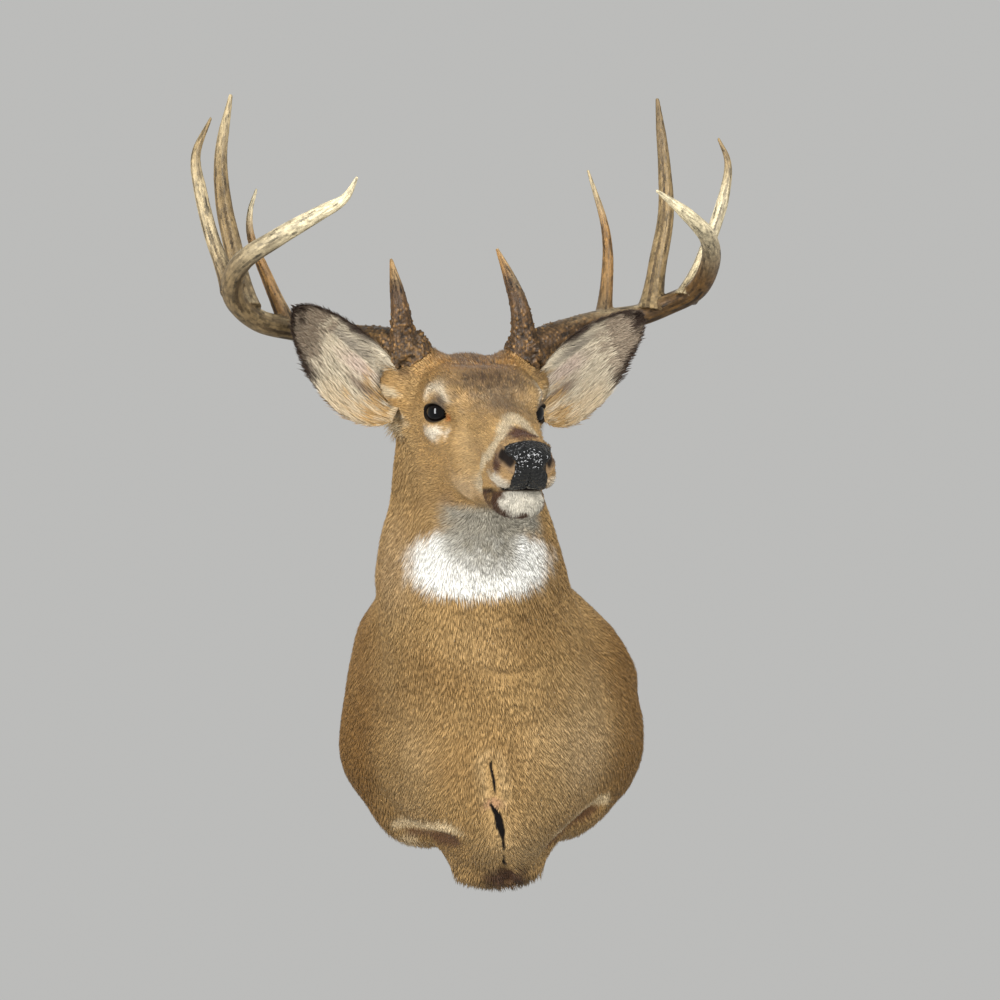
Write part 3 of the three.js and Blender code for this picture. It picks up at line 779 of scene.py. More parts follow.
def face_colours(points, base):
    s, f, u = head_coordinates(points)
    here = (s, f, u)
    wide = np.abs(s)
    pair = (wide, f, u)
    ragged = 0.16 * waver(points, 14, 11) + 0.1 * waver(points, 6, 12)
    broad = 0.2 * waver(points, 34, 13)
    flecks = 0.5 + 0.5 * waver(points, 9, 14)
    patches = [
        (pair, (48, -4, -38), (28, 84, 50), 0.8, broad, 1, CHEEK_GOLD),
        (pair, (34, 70, -66), (16, 46, 22), 0.8, broad, 0.6, FOLD_CREAM),
        (pair, (30, 66, -24), (20, 40, 34), 0.8, broad, 0.7, PALE_TAN),
        (here, (0, 26, 34), (44, 84, 34), 0.7, ragged, 0.8, GREY_BROWN),
        (pair, (30, 100, -20), (12, 22, 18), 0.8, broad, 0.4, GREY_BROWN),
        (here, (0, 44, 34), (44, 58, 34), 0.7, ragged, 0.35 * flecks, CREAM),
        (here, (0, -66, 44), (60, 66, 40), 0.8, ragged, 1, RUST),
    ]
    tones = paint_patches(base, patches)
    flares = spot(here, (0, -66, 42), (52, 46, 30), 0.8, ragged)
    flares = flares * smooth(0.55, 0.85, 0.5 + 0.5 * waver(points, 6, 16))
    tones = paint(tones, flares * 0.7, FOLD_CREAM)
    streaks = spot(here, (4, -60, 46), (40, 60, 34), 0.7, ragged)
    streaks = streaks * smooth(0.45, 0.85, 0.5 + 0.5 * waver(points, 8, 15))
    tones = paint(tones, streaks * 0.85, DARK_BROWN)
    brow_streaks = spot(here, (0, 10, 36), (38, 22, 18), 0.8, ragged * 2) * smooth(0.1, 0.7, flecks)
    tones = paint(tones, brow_streaks * 0.8, DARK_BROWN)
    patches = [
        (here, (0, 70, 24), (16, 40, 16), 0.8, broad, 0.35, DARK_BROWN),
        # round the root of the ear: gold, dark against the burr, with a pale tuft over the cheek
        (pair, (76, -90, -20), (22, 34, 40), 0.7, broad, 0.7, CHEEK_GOLD),
        (pair, (70, -78, 25), (10, 18, 12), 0.7, ragged * 2, 0.6, DARK_BROWN),
        (pair, (84, -84, 0), (13, 16, 9), 0.6, ragged * 2, 0.8, EAR_TUFT),
        (pair, (80, -90, -32), (18, 26, 20), 0.7, ragged * 2, 0.9, EAR_TUFT),
    ]
    tones = paint_patches(tones, patches)
    # the muzzle: brown over the nose, a cream band behind it, white lips and chin
    in_front = smooth(-6, 6, (f - 124) + 0.55 * np.minimum(u, 0) + 0.5 * wide - 12)
    tones = paint(tones, in_front * 0.55, GREY_BROWN)
    band = nearer_side(points, BAND)
    tones = paint(tones, smooth(12.0, 5.0, band + 8 * ragged), CREAM)
    patches = [
        (here, (0, 147, 17), (20, 24, 14), 0.4, ragged, 1, RED_BROWN),
        (pair, (29, 160, -12), (9, 14, 12), 0.5, ragged, 1, RED_BROWN),
    ]
    tones = paint_patches(tones, patches)
    below_mouth = smooth(1.5, -1.5, u - mouth_height(f))
    lip = spot(pair, (24, 162, -31), (15, 22, 13), 0.5, ragged) * (1 - below_mouth)
    tones = paint(tones, lip * smooth(-17, -24, u + ragged * 8) * 0.85, LIP_GREY)
    band_end = spot(pair, (27, 94, -50), (9, 16, 12), 0.7, ragged) * (1 - below_mouth)
    tones = paint(tones, band_end * 0.75, CREAM)
    # painted shade: the pale fur under the chin greyed
    tones = paint(tones, spot(here, (0, 128, -74), (34, 42, 16), 0.6, ragged) * 0.9, PALE_FUR_IN_PAINTED_SHADE)
    brown = spot(here, (0, 141, -56), (32, 40, 27), 0.2, ragged * 0.5)
    tones = paint(tones, brown * below_mouth, DARK_BROWN)
    white = spot(here, (3, 156, -54), (23.5, 30, 18.5), 0.22, ragged * 0.6)
    tones = paint(tones, white * below_mouth, LIP_WHITE)
    tones = paint(tones, spot(here, (3, 160, -69), (8, 10, 6), 0.4), DARK_BROWN)
    # pale fur under the jaw, greyed with painted shade, with a brown spot at its corner
    under = smooth(-92, -106, u) * smooth(-40, 10, f) * smooth(128, 96, f) * smooth(46, 30, wide)
    tones = paint(tones, under * (0.9 + ragged), PALE_FUR_IN_PAINTED_SHADE)
    tones = paint(tones, spot(pair, (32, 0, -92), (9, 14, 12), 0.5, ragged) * 0.5, GREY_BROWN)
    for out in (1, -1):
        x, y, z = eye_coordinates(points, out)
        facing = smooth(-30, -12, z)
        gap = lid_gap(x, y)
        ring = np.hypot((x - 4) / 1.25, y / 1.22)
        high = smooth(7, 16, y - 0.05 * x)
        tones = paint(tones, hump(ring, 21 + 2 * ragged, 4.5) * high * facing * 0.95, BROW_CREAM)
        at_eye = (x, y, z)
        patches = [
            (at_eye, (13, 11, 12), (15, 11, 20), 0.6, ragged, 0.9, LID_GREY),
            (at_eye, (-3, -21, 6), (23, 9.5, 34), 0.7, ragged, 0.95, UNDER_EYE),
            (at_eye, (18, -17, 6), (19, 7.5, 30), 0.8, ragged * 2, 0.65, UNDER_EYE),
            (at_eye, (26, 0, 8), (12, 10, 22), 0.8, ragged, 0.55, DEEP_TAN),
            (at_eye, (22, -3, 10), (8, 5, 20), 0.7, 0, 1, TEAR_RUST),
        ]
        tones = paint_patches(tones, patches)
        tones = paint(tones, smooth(4.0, 1.2, gap) * facing, BLACK_SKIN)
        nostril, share = path_distance(points, NOSTRIL, head_point, out)
        tones = paint(tones, smooth(10, 6.0, nostril) * 0.75, NOSTRIL_GREY)
        # the dark skin inside the nostril, darkened further with painted shade of a deeper opening
        tones = paint(tones, smooth(6.6, 3.8, nostril) * smooth(0.0, 0.25, share), NOSTRIL_SKIN_AND_SHADE)
    mouth = nearer_side(points, MOUTH)
    tones = paint(tones, np.maximum(smooth(4.0, 2.2, mouth), lip_edge(points)), BLACK_SKIN)
    mouth_corner = spot(pair, (28, 128, -55), (8, 17, 8), 0.8, ragged)
    return paint(tones, mouth_corner * 0.85, DARK_BROWN)


def leather(points):
    """1 on the bare wet leather of the nose, 0 on the coat."""
    s, f, u = head_coordinates(points)
    wide = np.abs(s)
    width = 24.0 - 8.0 * smooth(1, -5, u) + 2.5 * smooth(-14, -22, u)
    top = 14.0 - 0.014 * s * s
    inside = np.minimum(width - wide, top - u)
    inside = np.minimum(inside, u + 38)
    inside = np.minimum(inside, (f - 160 - 0.15 * wide) * 0.8)
    inside = np.minimum(inside, f + 0.6 * (top - u) - 165)
    return smooth(-0.8, 0.8, inside)


def body_colours(points, bearing):
    x, y, z = points.T
    patchy = waver(points, 90, 21)
    fine = waver(points, 26, 22)
    tones = np.repeat(TAN[None], len(points), 0)
    tones = paint(tones, 0.28 + 0.22 * patchy + 0.12 * fine, DEEP_TAN)
    # painted shade: the lower left of the chest, and both sides where they turn back to the wall,
    # darkened to rusty brown
    shade = smooth(20, -120, x) * smooth(60, -40, z) * 0.2
    tones = paint(tones, shade + 0.7 * smooth(112, 150, np.abs(x)), PAINTED_SHADE_BROWN)
    # painted highlight: paler bands over both points of the shoulder
    pale = hump(np.abs(x + 10), 74, 26) * smooth(40, -40, z) * smooth(-130, -90, z)
    tones = paint(tones, pale * (0.45 + 0.25 * patchy), PALE_TAN)
    here = (x, y, z)
    patches = [
        # painted highlight on the right point of the shoulder
        (here, (106, -226, -4), (34, 90, 66), 0.9, 0, 0.6, PALE_TAN),
        (here, (-12, -328, 84), (50, 60, 40), 0.9, 0, 0.25, PALE_TAN),
        (here, (-94, -250, 169), (34, 90, 64), 0.9, 0, 0.45, FOLD_CREAM),
        # painted light on the right breast
        (here, (98, -215, -40), (38, 90, 54), 0.9, 0, 0.5, FOLD_CREAM),
        (here, (28, -230, -136), (52, 70, 48), 0.9, 0, 0.7, PALE_TAN),
        # painted light on the right breast
        (here, (86, -210, -20), (70, 150, 90), 0.8, 0, 0.45, PALE_TAN),
    ]
    tones = paint_patches(tones, patches)
    nape = smooth(-0.1, 0.6, bearing[:, 1]) * smooth(60, 200, z)
    tones = paint(tones, nape * 0.6, GREY_BROWN)
    sides = smooth(-0.2, -0.8, bearing[:, 1]) * smooth(120, 300, z)
    tones = paint(tones, sides * 0.25, PALE_TAN)
    # the white bib on the throat
    ragged = 0.05 * waver(points, 22, 23) + 0.03 * waver(points, 8, 24)
    reach = (np.abs(x + 13) / 79) ** 2.8 + (np.abs(z - 174) / 38) ** 2.8
    front = smooth(-190, -235, y)
    bib = (1 - smooth(0.78, 1.08, reach ** (1 / 2.8) + ragged)) * front
    tones = paint(tones, bib, WHITE)
    # painted shade: the white under the jaw greyed where the head shades the throat
    throat = smooth(200, 212, z) * smooth(-280, -320, y)
    throat = throat * smooth(58, 34, np.abs(x - 12)) * smooth(240, 226, z)
    tones = paint(tones, throat, PALE_FUR_IN_PAINTED_SHADE)
    # the brisket, its seam and the openings above the stubs of the legs
    brisket = spot(here, (16, -190, -186), (36, 44, 20), 0.8, ragged * 4)
    tones = paint(tones, brisket, DARK_BROWN)
    seam, share = path_distance(points, SEAM, body_point)
    crack, _ = path_distance(points, CRACK, body_point)
    tones = paint(tones, hump(crack, 11, 7) * 0.6, PALE_TAN)
    tones = paint(tones, smooth(2.4, 1.1, crack), SEAM_DARK)
    whorl = spot(here, (2, -272, -92), (13, 20, 8), 0.6)
    tones = paint(tones, whorl * 0.7, WHORL_PINK)
    wide = 0.9 + 2.9 * hump(share, 0.3, 0.2)
    tones = paint(tones, smooth(wide + 1.6, wide, seam + 8 * ragged), SEAM_DARK)
    # painted shade: each fold of the neck darkened along its line
    for start, end, _, width in CREASES:
        fold, _ = body_line(points, start, end)
        tones = paint(tones, hump(fold, 0, 1.2 * width) * 0.5, DARK_BROWN)
    for start, end, _, _ in ARMPITS:
        line, share = body_line(points, start, end)
        over = z - start[2] - share * (end[2] - start[2])
        over_pit = smooth(33, 23, line) * smooth(4, 10, over) * smooth(27, 18, over + 60 * ragged)
        tones = paint(tones, over_pit * 0.9, PIT_FOLD)
        # painted shade: the hollow under each fold darkened with brown
        tones = paint(tones, smooth(17, 10, line) * smooth(9, 3, over) * 0.95, PIT_BROWN)
    lip = spot(here, (-96, -130, -152), (14, 34, 12), 0.7, ragged * 3)
    return paint(tones, lip * 0.7, PIT_FOLD)


def ear_colours(share, a, half_side, points):
    ragged = 0.1 * waver(points, 16, 31) + 0.06 * waver(points, 6, 32)
    fleck = 0.5 + 0.5 * waver(points, 5, 33)
    bowl = smooth(-0.15, 0.15, half_side)
    inside = np.repeat(EAR_CREAM[None], len(share), 0)
    here = (share, a, half_side)
    patches = [
        (here, (0.44, 0.42, 0.6), (0.22, 0.36, 2), 0.6, ragged, 0.9, EAR_GREY),
        (here, (0.3, -0.12, 0.6), (0.2, 0.22, 2), 0.7, ragged, 0.75, EAR_SKIN),
        (here, (0.16, -0.42, 0.6), (0.16, 0.1, 2), 0.6, ragged, 0.75, RED_BROWN),
    ]
    inside = paint_patches(inside, patches)
    grizzle = smooth(0.56, 0.74, share + ragged - 0.1 * a)
    inside = paint(inside, grizzle * (0.65 + 0.3 * fleck), EAR_GRIZZLE)
    low = smooth(-0.5, -0.8, a + ragged) * smooth(0.5, 0.3, share)
    inside = paint(inside, low * 0.3, PALE_TAN * 1.1)
    inside = paint(inside, smooth(0.16, 0.04, share + ragged), TAN)
    back = np.repeat(EAR_BACK[None], len(share), 0)
    back = paint(back, smooth(0.3, 0.0, share + ragged), TAN)
    tones = back + (inside - back) * bowl[:, None]
    upper = smooth(0.72, 0.95, a + 0.4 * ragged) * smooth(0.3, 0.5, share)
    lower = smooth(-0.74, -0.93, a + 0.4 * ragged) * smooth(0.42, 0.55, share)
    tip = smooth(0.86, 0.94, share + 0.3 * ragged)
    return paint(tones, np.maximum(np.maximum(upper, lower), tip), RIM_BROWN)


def headness(points):
    """1 on the head and 0 on the neck, changing over at the throat latch and the poll."""
    _, f, u = head_coordinates(points)
    return smooth(-24, 6, 0.78 * (f + 20) + 0.62 * (u + 105))


# ---------------------------------------------------------------- how the coat lies
DOWN_NECK = unit(np.array([0.065, 0.6, -0.8]))


def lie_of_coat(points, bearing):
    """The way the hair points over the head and body, along the skin."""
    x, y, z = points.T
    s, f, u = head_coordinates(points)
    on_head = headness(points)[:, None]
    body = np.repeat(DOWN_NECK[None], len(points), 0)
    apart = np.tanh(x / 60) * smooth(60, -60, z) * smooth(-150, -230, y)
    body = body + ACROSS * (0.45 * apart)[:, None]
    pinch = np.exp(-(((x - 8) / 40) ** 2)) * smooth(-60, -110, z)
    body = body + ACROSS * (0.35 * np.tanh((x - 8) / 14) * pinch)[:, None]
    body = body + ACROSS * (0.16 * waver(points, 70, 41))[:, None]
    body = body + UPWARD * (0.10 * waver(points, 50, 42))[:, None]
    head = -FORWARD * np.ones((len(points), 1))
    low = smooth(6, -40, u)
    head = head - UP * (0.55 * low * smooth(110, 60, f))[:, None]
    spread = 0.35 * np.sign(s) * smooth(8, 40, np.abs(s)) * smooth(120, 40, f)
    head = head + SIDE * spread[:, None]
    head = head + SIDE * (0.18 * waver(points, 24, 43))[:, None]
    for out in (1, -1):
        centre, _, over, _ = eye_frame(out)
        q = points - centre
        near = np.exp(-((np.linalg.norm(q, axis=1) / 30) ** 2))
        head = head + over * (0.9 * np.tanh(q @ over / 8) * near)[:, None]
    chin = (smooth(100, 130, f) * smooth(-40, -46, u))[:, None]
    head = head + (-UP - 0.15 * FORWARD - head) * chin
    flow = body + (unit(head) - body) * on_head
    flow[:, 1] *= smooth(-14, -60, y) * 0.95 + 0.05
    return along_skin(flow, bearing)


def along_skin(flow, bearing):
    flat = flow - bearing * np.einsum("ij,ij->i", flow, bearing)[:, None]
    return unit(flat)


def ear_corners(points, ear_facts):
    """Which of the points lie on an ear, with the side of the head and the place on the ear."""
    rows, facts = [], []
    for out in (1, -1):
        tree, known = ear_facts[out]
        base, axis, _, _ = ear_axes(out)
        near = np.linalg.norm(points - base - axis / 2, axis=1) < 125
        for i in np.flatnonzero(near):
            _, index, away = tree.find(points[i])
            if away < 1.2:
                rows.append(i)
                facts.append((out, *known[index]))
    return np.array(rows), np.array(facts)


def ear_lie(out, share, a, half_side, bearing):
    """Hair sweeps from the base and the upper rim out across the bowl; at the back, outwards."""
    _, axis, _, wide = ear_axes(out)
    bowl = half_side > 0
    near = smooth(0.72, 0.5, share)
    sweep = near * (0.15 - 0.75 * smooth(-0.1, 0.6, a)) + (1 - near) * 0.5 * a
    outward = unit(axis) + wide * np.where(bowl, sweep, 0.3 * a)[:, None]
    return along_skin(outward, bearing)


def unwrap(points, ears, ear_places):
    """Lays the skin's own shape out flat: the body and the head round their axes, the ears open."""
    x, y, z = points.T
    s, f, u = head_coordinates(points)
    on_head = headness(points) > 0.5
    centre_y = -130 - 0.35 * (z + 100)
    body = np.stack([np.arctan2(x, -(y - centre_y)) / 6.3 + 0.5, (z + 230) / 620], 1)
    head = np.stack([np.arctan2(s, u + 28) / 6.3 + 0.5, (f + 160) / 350], 1)
    flat = np.where(on_head[:, None], head, body)
    _, share, a, half_side = ear_places.T
    flat[ears] = np.stack([(a + 1.02) / 4.1 + 0.5 * (half_side < 0), share], 1)
    return flat


def hair_length(points):
    """The length of the hair over the head and body, in mm."""
    _, y, z = points.T
    s, f, u = head_coordinates(points)
    face = 8.5 - 4.0 * smooth(20, 160, f)
    on_head = headness(points)
    reach = 12.5 + (face - 12.5) * on_head
    reach = reach + 5 * smooth(-90, -150, z)
    reach = reach * (0.35 + 0.65 * smooth(-2, -28, y))
    for stops in (SEAM, CRACK):
        gap, _ = path_distance(points, stops, body_point)
        reach = reach * smooth(-4, 14, gap)
    for start, end, _, _ in CREASES:
        fold, _ = body_line(points, start, end)
        reach = reach * smooth(-6, 9, fold)
    for start, end, _, _ in ARMPITS:
        line, _ = body_line(points, start, end)
        reach = reach * (1 - 0.5 * smooth(34, 22, line)) * (1 - 0.3 * smooth(14, 7, line))
    reach = reach + 5 * spot((s, f, u), (0, -72, 40), (60, 40, 40), 0.6)
    reach = reach + 6 * spot((np.abs(s), f, u), (74, -90, -12), (20, 36, 44), 0.6)
    reach = reach + 5 * spot((np.abs(s), f, u), (77, -92, -34), (16, 22, 16), 0.6)
    reach = reach + (5 - reach) * spot((s, f, u), (0, 165, -55), (34, 34, 26), 0.3)
    for out in (1, -1):
        mouth, _ = path_distance(points, MOUTH, head_point, out)
        reach = reach * (0.35 + 0.65 * smooth(1, 9, mouth))
    for out in (1, -1):
        along, over, outward = eye_coordinates(points, out)
        gap = np.where(outward > 2, lid_gap(along, over), 30)
        reach = reach * (0.4 + 0.6 * smooth(2, 14, gap))
    return reach


def growth(points, bare):
    """Where hair grows: 1 on the coat, 0 on the leather, in the eyes, mouth and nostrils."""
    grow = (1 - bare) * smooth(-1.6, -2.4, points[:, 1])
    for out in (1, -1):
        along, over, outward = eye_coordinates(points, out)
        grow = grow * np.where(outward > 2, smooth(2.2, 4.5, lid_gap(along, over)), 1)
        mouth, _ = path_distance(points, MOUTH, head_point, out)
        nostril, _ = path_distance(points, NOSTRIL, head_point, out)
        grow = grow * smooth(1.4, 3.4, mouth) * smooth(5.0, 7.5, nostril)
    grow = grow * (1 - lip_edge(points))
    seam, share = path_distance(points, SEAM, body_point)
    wide = 0.3 + 2.6 * hump(share, 0.3, 0.2)
    crack, _ = path_distance(points, CRACK, body_point)
    return grow * smooth(wide, wide + 1.6, seam) * smooth(0.6, 2.0, crack)


def mark_skin(skin, ear_facts):
    """The colour, the lie and length of the hair, and the part, at each corner of the skin."""
    points, bearing = places(skin.data), normals(skin.data)
    on_head = headness(points)
    tones = body_colours(points, bearing)
    tones = tones + (face_colours(points, tones) - tones) * on_head[:, None]
    mottle = 0.09 * waver(points, 8, 61) + 0.08 * waver(points, 21, 62)
    tones = tones * (1 + mottle * (0.5 + 0.5 * on_head))[:, None]
    lie = lie_of_coat(points, bearing)
    reach = hair_length(points)
    s, f, u = head_coordinates(points)
    under_ear = spot((np.abs(s), f, u), (77, -93, -30), (12, 14, 14), 0.6)
    rise = 0.13 + 0.06 * on_head + 0.5 * under_ear
    part = np.zeros(len(points))
    ears, ear_places = ear_corners(points, ear_facts)
    out, share, a, half_side = ear_places.T
    part[ears] = out
    tones[ears] = ear_colours(share, a, half_side, points[ears])
    for way in (1, -1):
        mine = out == way
        lie[ears[mine]] = ear_lie(
            way, share[mine], a[mine], half_side[mine], bearing[ears[mine]]
        )
    bowl = smooth(-0.1, 0.1, half_side)
    inner = 8 + 15 * smooth(0.75, 0.45, share) * (0.45 + 0.55 * smooth(0.3, -0.6, a))
    reach[ears] = 7 + (inner - 7) * bowl
    rise[ears] = 0.25 + 0.08 * bowl
    bare = leather(points) * (part == 0)
    tones = paint(tones, bare, BLACK_SKIN)
    grow = growth(points, bare)
    grow[ears] = 1
    return {
        "points": points,
        "bearing": bearing,
        "coat": tones,
        "lie": lie,
        "reach": reach * MM,
        "rise": rise,
        "grow": grow,
        "part": part,
        "bare": bare,
        "unwrap": unwrap(points, ears, ear_places),
    }


# ---------------------------------------------------------------- building node trees
def fill(node, inputs):
    """Sets or links a node's live inputs, by name or place."""
    for name, value in dict(inputs).items():
        live = [socket for socket in node.inputs if socket.enabled]
        socket = live[name] if isinstance(name, int) else next(s for s in live if s.name == name)
        if isinstance(value, bpy.types.NodeSocket):
            node.id_data.links.new(value, socket)
        else:
            socket.default_value = value


def add(tree, kind, inputs=(), **settings):
    """Adds a node with its settings, and sets or links its inputs by name or place."""
    node = tree.nodes.new(kind)
    for name, value in settings.items():
        setattr(node, name, value)
    fill(node, inputs)
    return node


def result(node):
    """A node's first live output."""
    return next(socket for socket in node.outputs if socket.enabled)


def product(tree, a, b):
    return result(add(tree, "ShaderNodeMath", {0: a, 1: b}, operation="MULTIPLY"))


def scaled(tree, vector, factor):
    """A vector or a colour times a number."""
    inputs = {0: vector, "Scale": factor}
    return result(add(tree, "ShaderNodeVectorMath", inputs, operation="SCALE"))


def ranged(tree, value, limits):
    """A value taken from one range to another, each from 0 to 1 unless the limits say more."""
    return result(add(tree, "ShaderNodeMapRange", {"Value": value, **limits}))


def chance(tree, kind, low, high, seed):
    inputs = {"Min": low, "Max": high, "Seed": seed}
    return result(add(tree, "FunctionNodeRandomValue", inputs, data_type=kind))


def noise(tree, place, scale, detail, **more):
    """Cloudy noise over a place, with so many patches to the metre."""
    inputs = {"Vector": place, "Scale": scale, "Detail": detail, **more}
    return add(tree, "ShaderNodeTexNoise", inputs).outputs["Fac"]


def own_place(tree):
    """The place on a piece, in metres."""
    return add(tree, "ShaderNodeTexCoord").outputs["Object"]


def attribute(tree, name, output):
    return add(tree, "ShaderNodeAttribute", attribute_name=name).outputs[output]


def blend(tree, factor, low, high):
    """Between two colours."""
    inputs = {"Factor": factor, "A": (*low, 1), "B": (*high, 1)}
    return result(add(tree, "ShaderNodeMix", inputs, data_type="RGBA"))


def modifier_tree(name, inputs):
    """A tree for a piece's live modifier, and the sockets of its named inputs."""
    tree = bpy.data.node_groups.new(name, "GeometryNodeTree")
    face = tree.interface
    for label, kind in {"Geometry": "Geometry", **inputs}.items():
        face.new_socket(label, in_out="INPUT", socket_type=f"NodeSocket{kind}")
    face.new_socket("Geometry", in_out="OUTPUT", socket_type="NodeSocketGeometry")
    return tree, add(tree, "NodeGroupInput").outputs


def run_tree(piece, tree, settings):
    """Puts a piece through a tree with these settings, and keeps what comes out."""
    step = piece.modifiers.new(tree.name, "NODES")
    step.node_group = tree
    for item in tree.interface.items_tree:
        if item.item_type == "SOCKET" and item.in_out == "INPUT" and item.name in settings:
            step[item.identifier] = settings[item.name]
    finished(piece)


# ---------------------------------------------------------------- tufts of hair
def make_tuft(name, rings, bow, ridge):
    """A lock of hair one unit long and wide: a bent, three-sided, tapering blade, its ridge a
    share of its width high. rings holds the share of the length and the width at each ring
    below the tip."""
    points, faces, blade = [], [], []
    for along, width in rings:
        lift = bow * math.sin(math.pi * along**0.8)
        points += [(lift, -width / 2, along), (lift, width / 2, along)]
        points.append((lift + ridge * width, 0, along))
        blade += [(0, along), (1, along), (0.5, along)]
    for ring in range(len(rings) - 1):
        for j in range(3):
            k = (j + 1) % 3
            a, b = ring * 3 + j, ring * 3 + k
            faces.append((a, b, b + 3, a + 3))
    tip = len(points)
    points.append((-0.4 * bow, 0, 1))
    blade.append((0.5, 1))
    last = tip - 3
    faces += [(last, last + 1, tip), (last + 1, last + 2, tip), (last + 2, last, tip), (2, 1, 0)]
    mesh = bpy.data.meshes.new(name)
    mesh.from_pydata(points, [], faces)
    mesh.update()
    for face in mesh.polygons:
        face.use_smooth = True
    put(mesh, "blade", "FLOAT2", blade)
    return bpy.data.objects.new(name, mesh)


SHORT_TUFT = make_tuft("short_tuft", [(0, 0.55), (0.42, 1.0)], 0.04, 0.2)
LONG_TUFT = make_tuft("long_lock", [(0, 0.6), (0.3, 1.0), (0.65, 0.75)], 0.08, 0.34)
PATCH = 0.003  # each tuft's share of the unwrap


def coat_tree():
    """Tufts scattered over a skin, each along the lie of the coat, as real mesh."""
    inputs = {
        "Tufts per square metre": "Float",
        "Width": "Float",
        "Looseness": "Float",
        "Tuft": "Object",
        "Hair": "Material",
        "Seed": "Int",
    }
    tree, given = modifier_tree("coat_of_tufts", inputs)
    named = {}
    for name in ("grow", "reach", "rise", "lie", "unwrap", "blade"):
        kind = "FLOAT" if name in ("grow", "reach", "rise") else "FLOAT_VECTOR"
        known = add(tree, "GeometryNodeInputNamedAttribute", {"Name": name}, data_type=kind)
        named[name] = result(known)
    density = product(tree, named["grow"], given["Tufts per square metre"])
    roots = add(
        tree,
        "GeometryNodeDistributePointsOnFaces",
        {"Mesh": given["Geometry"], "Density": density, "Seed": given["Seed"]},
    ).outputs
    stray = chance(tree, "FLOAT_VECTOR", (-1, -1, -1), (1, 1, 1), 3)
    stray = scaled(tree, stray, given["Looseness"])
    off_skin = scaled(tree, roots["Normal"], named["rise"])
    way = named["lie"]
    for more in (off_skin, stray):
        way = result(add(tree, "ShaderNodeVectorMath", {0: way, 1: more}, operation="ADD"))
    turn = add(tree, "FunctionNodeAlignRotationToVector", {"Vector": way}, axis="Z")
    turn = add(
        tree,
        "FunctionNodeAlignRotationToVector",
        {"Rotation": result(turn), "Vector": roots["Normal"]},
        axis="X",
        pivot_axis="Z",
    )
    width = product(tree, given["Width"], chance(tree, "FLOAT", 0.65, 1.25, 5))
    length = product(tree, named["reach"], chance(tree, "FLOAT", 0.7, 1.2, 7))
    size = add(tree, "ShaderNodeCombineXYZ", {"X": width, "Y": width, "Z": length})
    tuft = add(tree, "GeometryNodeObjectInfo", {"Object": given["Tuft"], "As Instance": True})
    tufts = add(
        tree,
        "GeometryNodeInstanceOnPoints",
        {
            "Points": roots["Points"],
            "Instance": tuft.outputs["Geometry"],
            "Rotation": result(turn),
            "Scale": result(size),
        },
    )
    shade = chance(tree, "FLOAT", 0.0, 1.0, 9)
    shaded = add(
        tree,
        "GeometryNodeStoreNamedAttribute",
        {"Geometry": result(tufts), "Name": "shade", "Value": shade},
        data_type="FLOAT",
        domain="INSTANCE",
    )
    real = add(tree, "GeometryNodeRealizeInstances", {"Geometry": result(shaded)})
    patch = add(
        tree,
        "ShaderNodeVectorMath",
        {0: named["blade"], 1: (PATCH, PATCH, 0), 2: named["unwrap"]},
        operation="MULTIPLY_ADD",
    )
    mapped = add(
        tree,
        "GeometryNodeStoreNamedAttribute",
        {"Geometry": result(real), "Name": "OFBake", "Value": result(patch)},
        data_type="FLOAT2",
        domain="CORNER",
    )
    inputs = {"Geometry": result(mapped), "Material": given["Hair"]}
    haired = add(tree, "GeometryNodeSetMaterial", inputs)
    add(tree, "NodeGroupOutput", {0: result(haired)})
    return tree


COAT_TREE = coat_tree()


def scalp(name, skin_mesh, marks, wanted):
    """A copy of part of the skin, with what the tufts need to know at its corners."""
    loops = [tuple(face.vertices) for face in skin_mesh.polygons]
    kept = [loop for loop, take in zip(loops, wanted) if take]
    used = np.unique(np.concatenate([np.array(loop) for loop in kept]))
    renumber = np.full(len(marks["points"]), -1)
    renumber[used] = np.arange(len(used))
    piece = mesh_object(name, marks["points"][used], [renumber[list(loop)] for loop in kept])
    flat = marks["unwrap"][used]
    low, high = flat.min(0), flat.max(0)
    flat = 0.01 + 0.97 * (flat - low) / (high - low)
    for key in ("grow", "reach", "rise", "lie"):
        kind = "FLOAT_VECTOR" if key == "lie" else "FLOAT"
        put(piece.data, key, kind, marks[key][used])
    put(piece.data, "unwrap", "FLOAT2", flat)
    put_colour(piece.data, "coat", marks["coat"][used])
    return piece


def grow_coat(piece, density, width, looseness, tuft, hair, seed):
    """Covers a scalp with tufts, so many to the square centimetre, and keeps only them."""
    settings = {
        "Tufts per square metre": density * 1e4,
        "Width": width * MM,
        "Looseness": looseness,
        "Tuft": tuft,
        "Hair": hair,
        "Seed": seed,
    }
    run_tree(piece, COAT_TREE, settings)
    for name in ("grow", "reach", "rise", "lie", "unwrap"):
        spare = piece.data.attributes.get(name)
        if spare:
            piece.data.attributes.remove(spare)


# ---------------------------------------------------------------- materials
def material(name):
    made = bpy.data.materials.new(name)
    made.use_nodes = True
    tree = made.node_tree
    tree.nodes.clear()
    shader = add(tree, "ShaderNodeBsdfPrincipled")
    add(tree, "ShaderNodeOutputMaterial", {"Surface": result(shader)})
    return made, tree, shader


def bumps(tree, height, distance):
    return result(add(tree, "ShaderNodeBump", {"Height": height, "Distance": distance}))


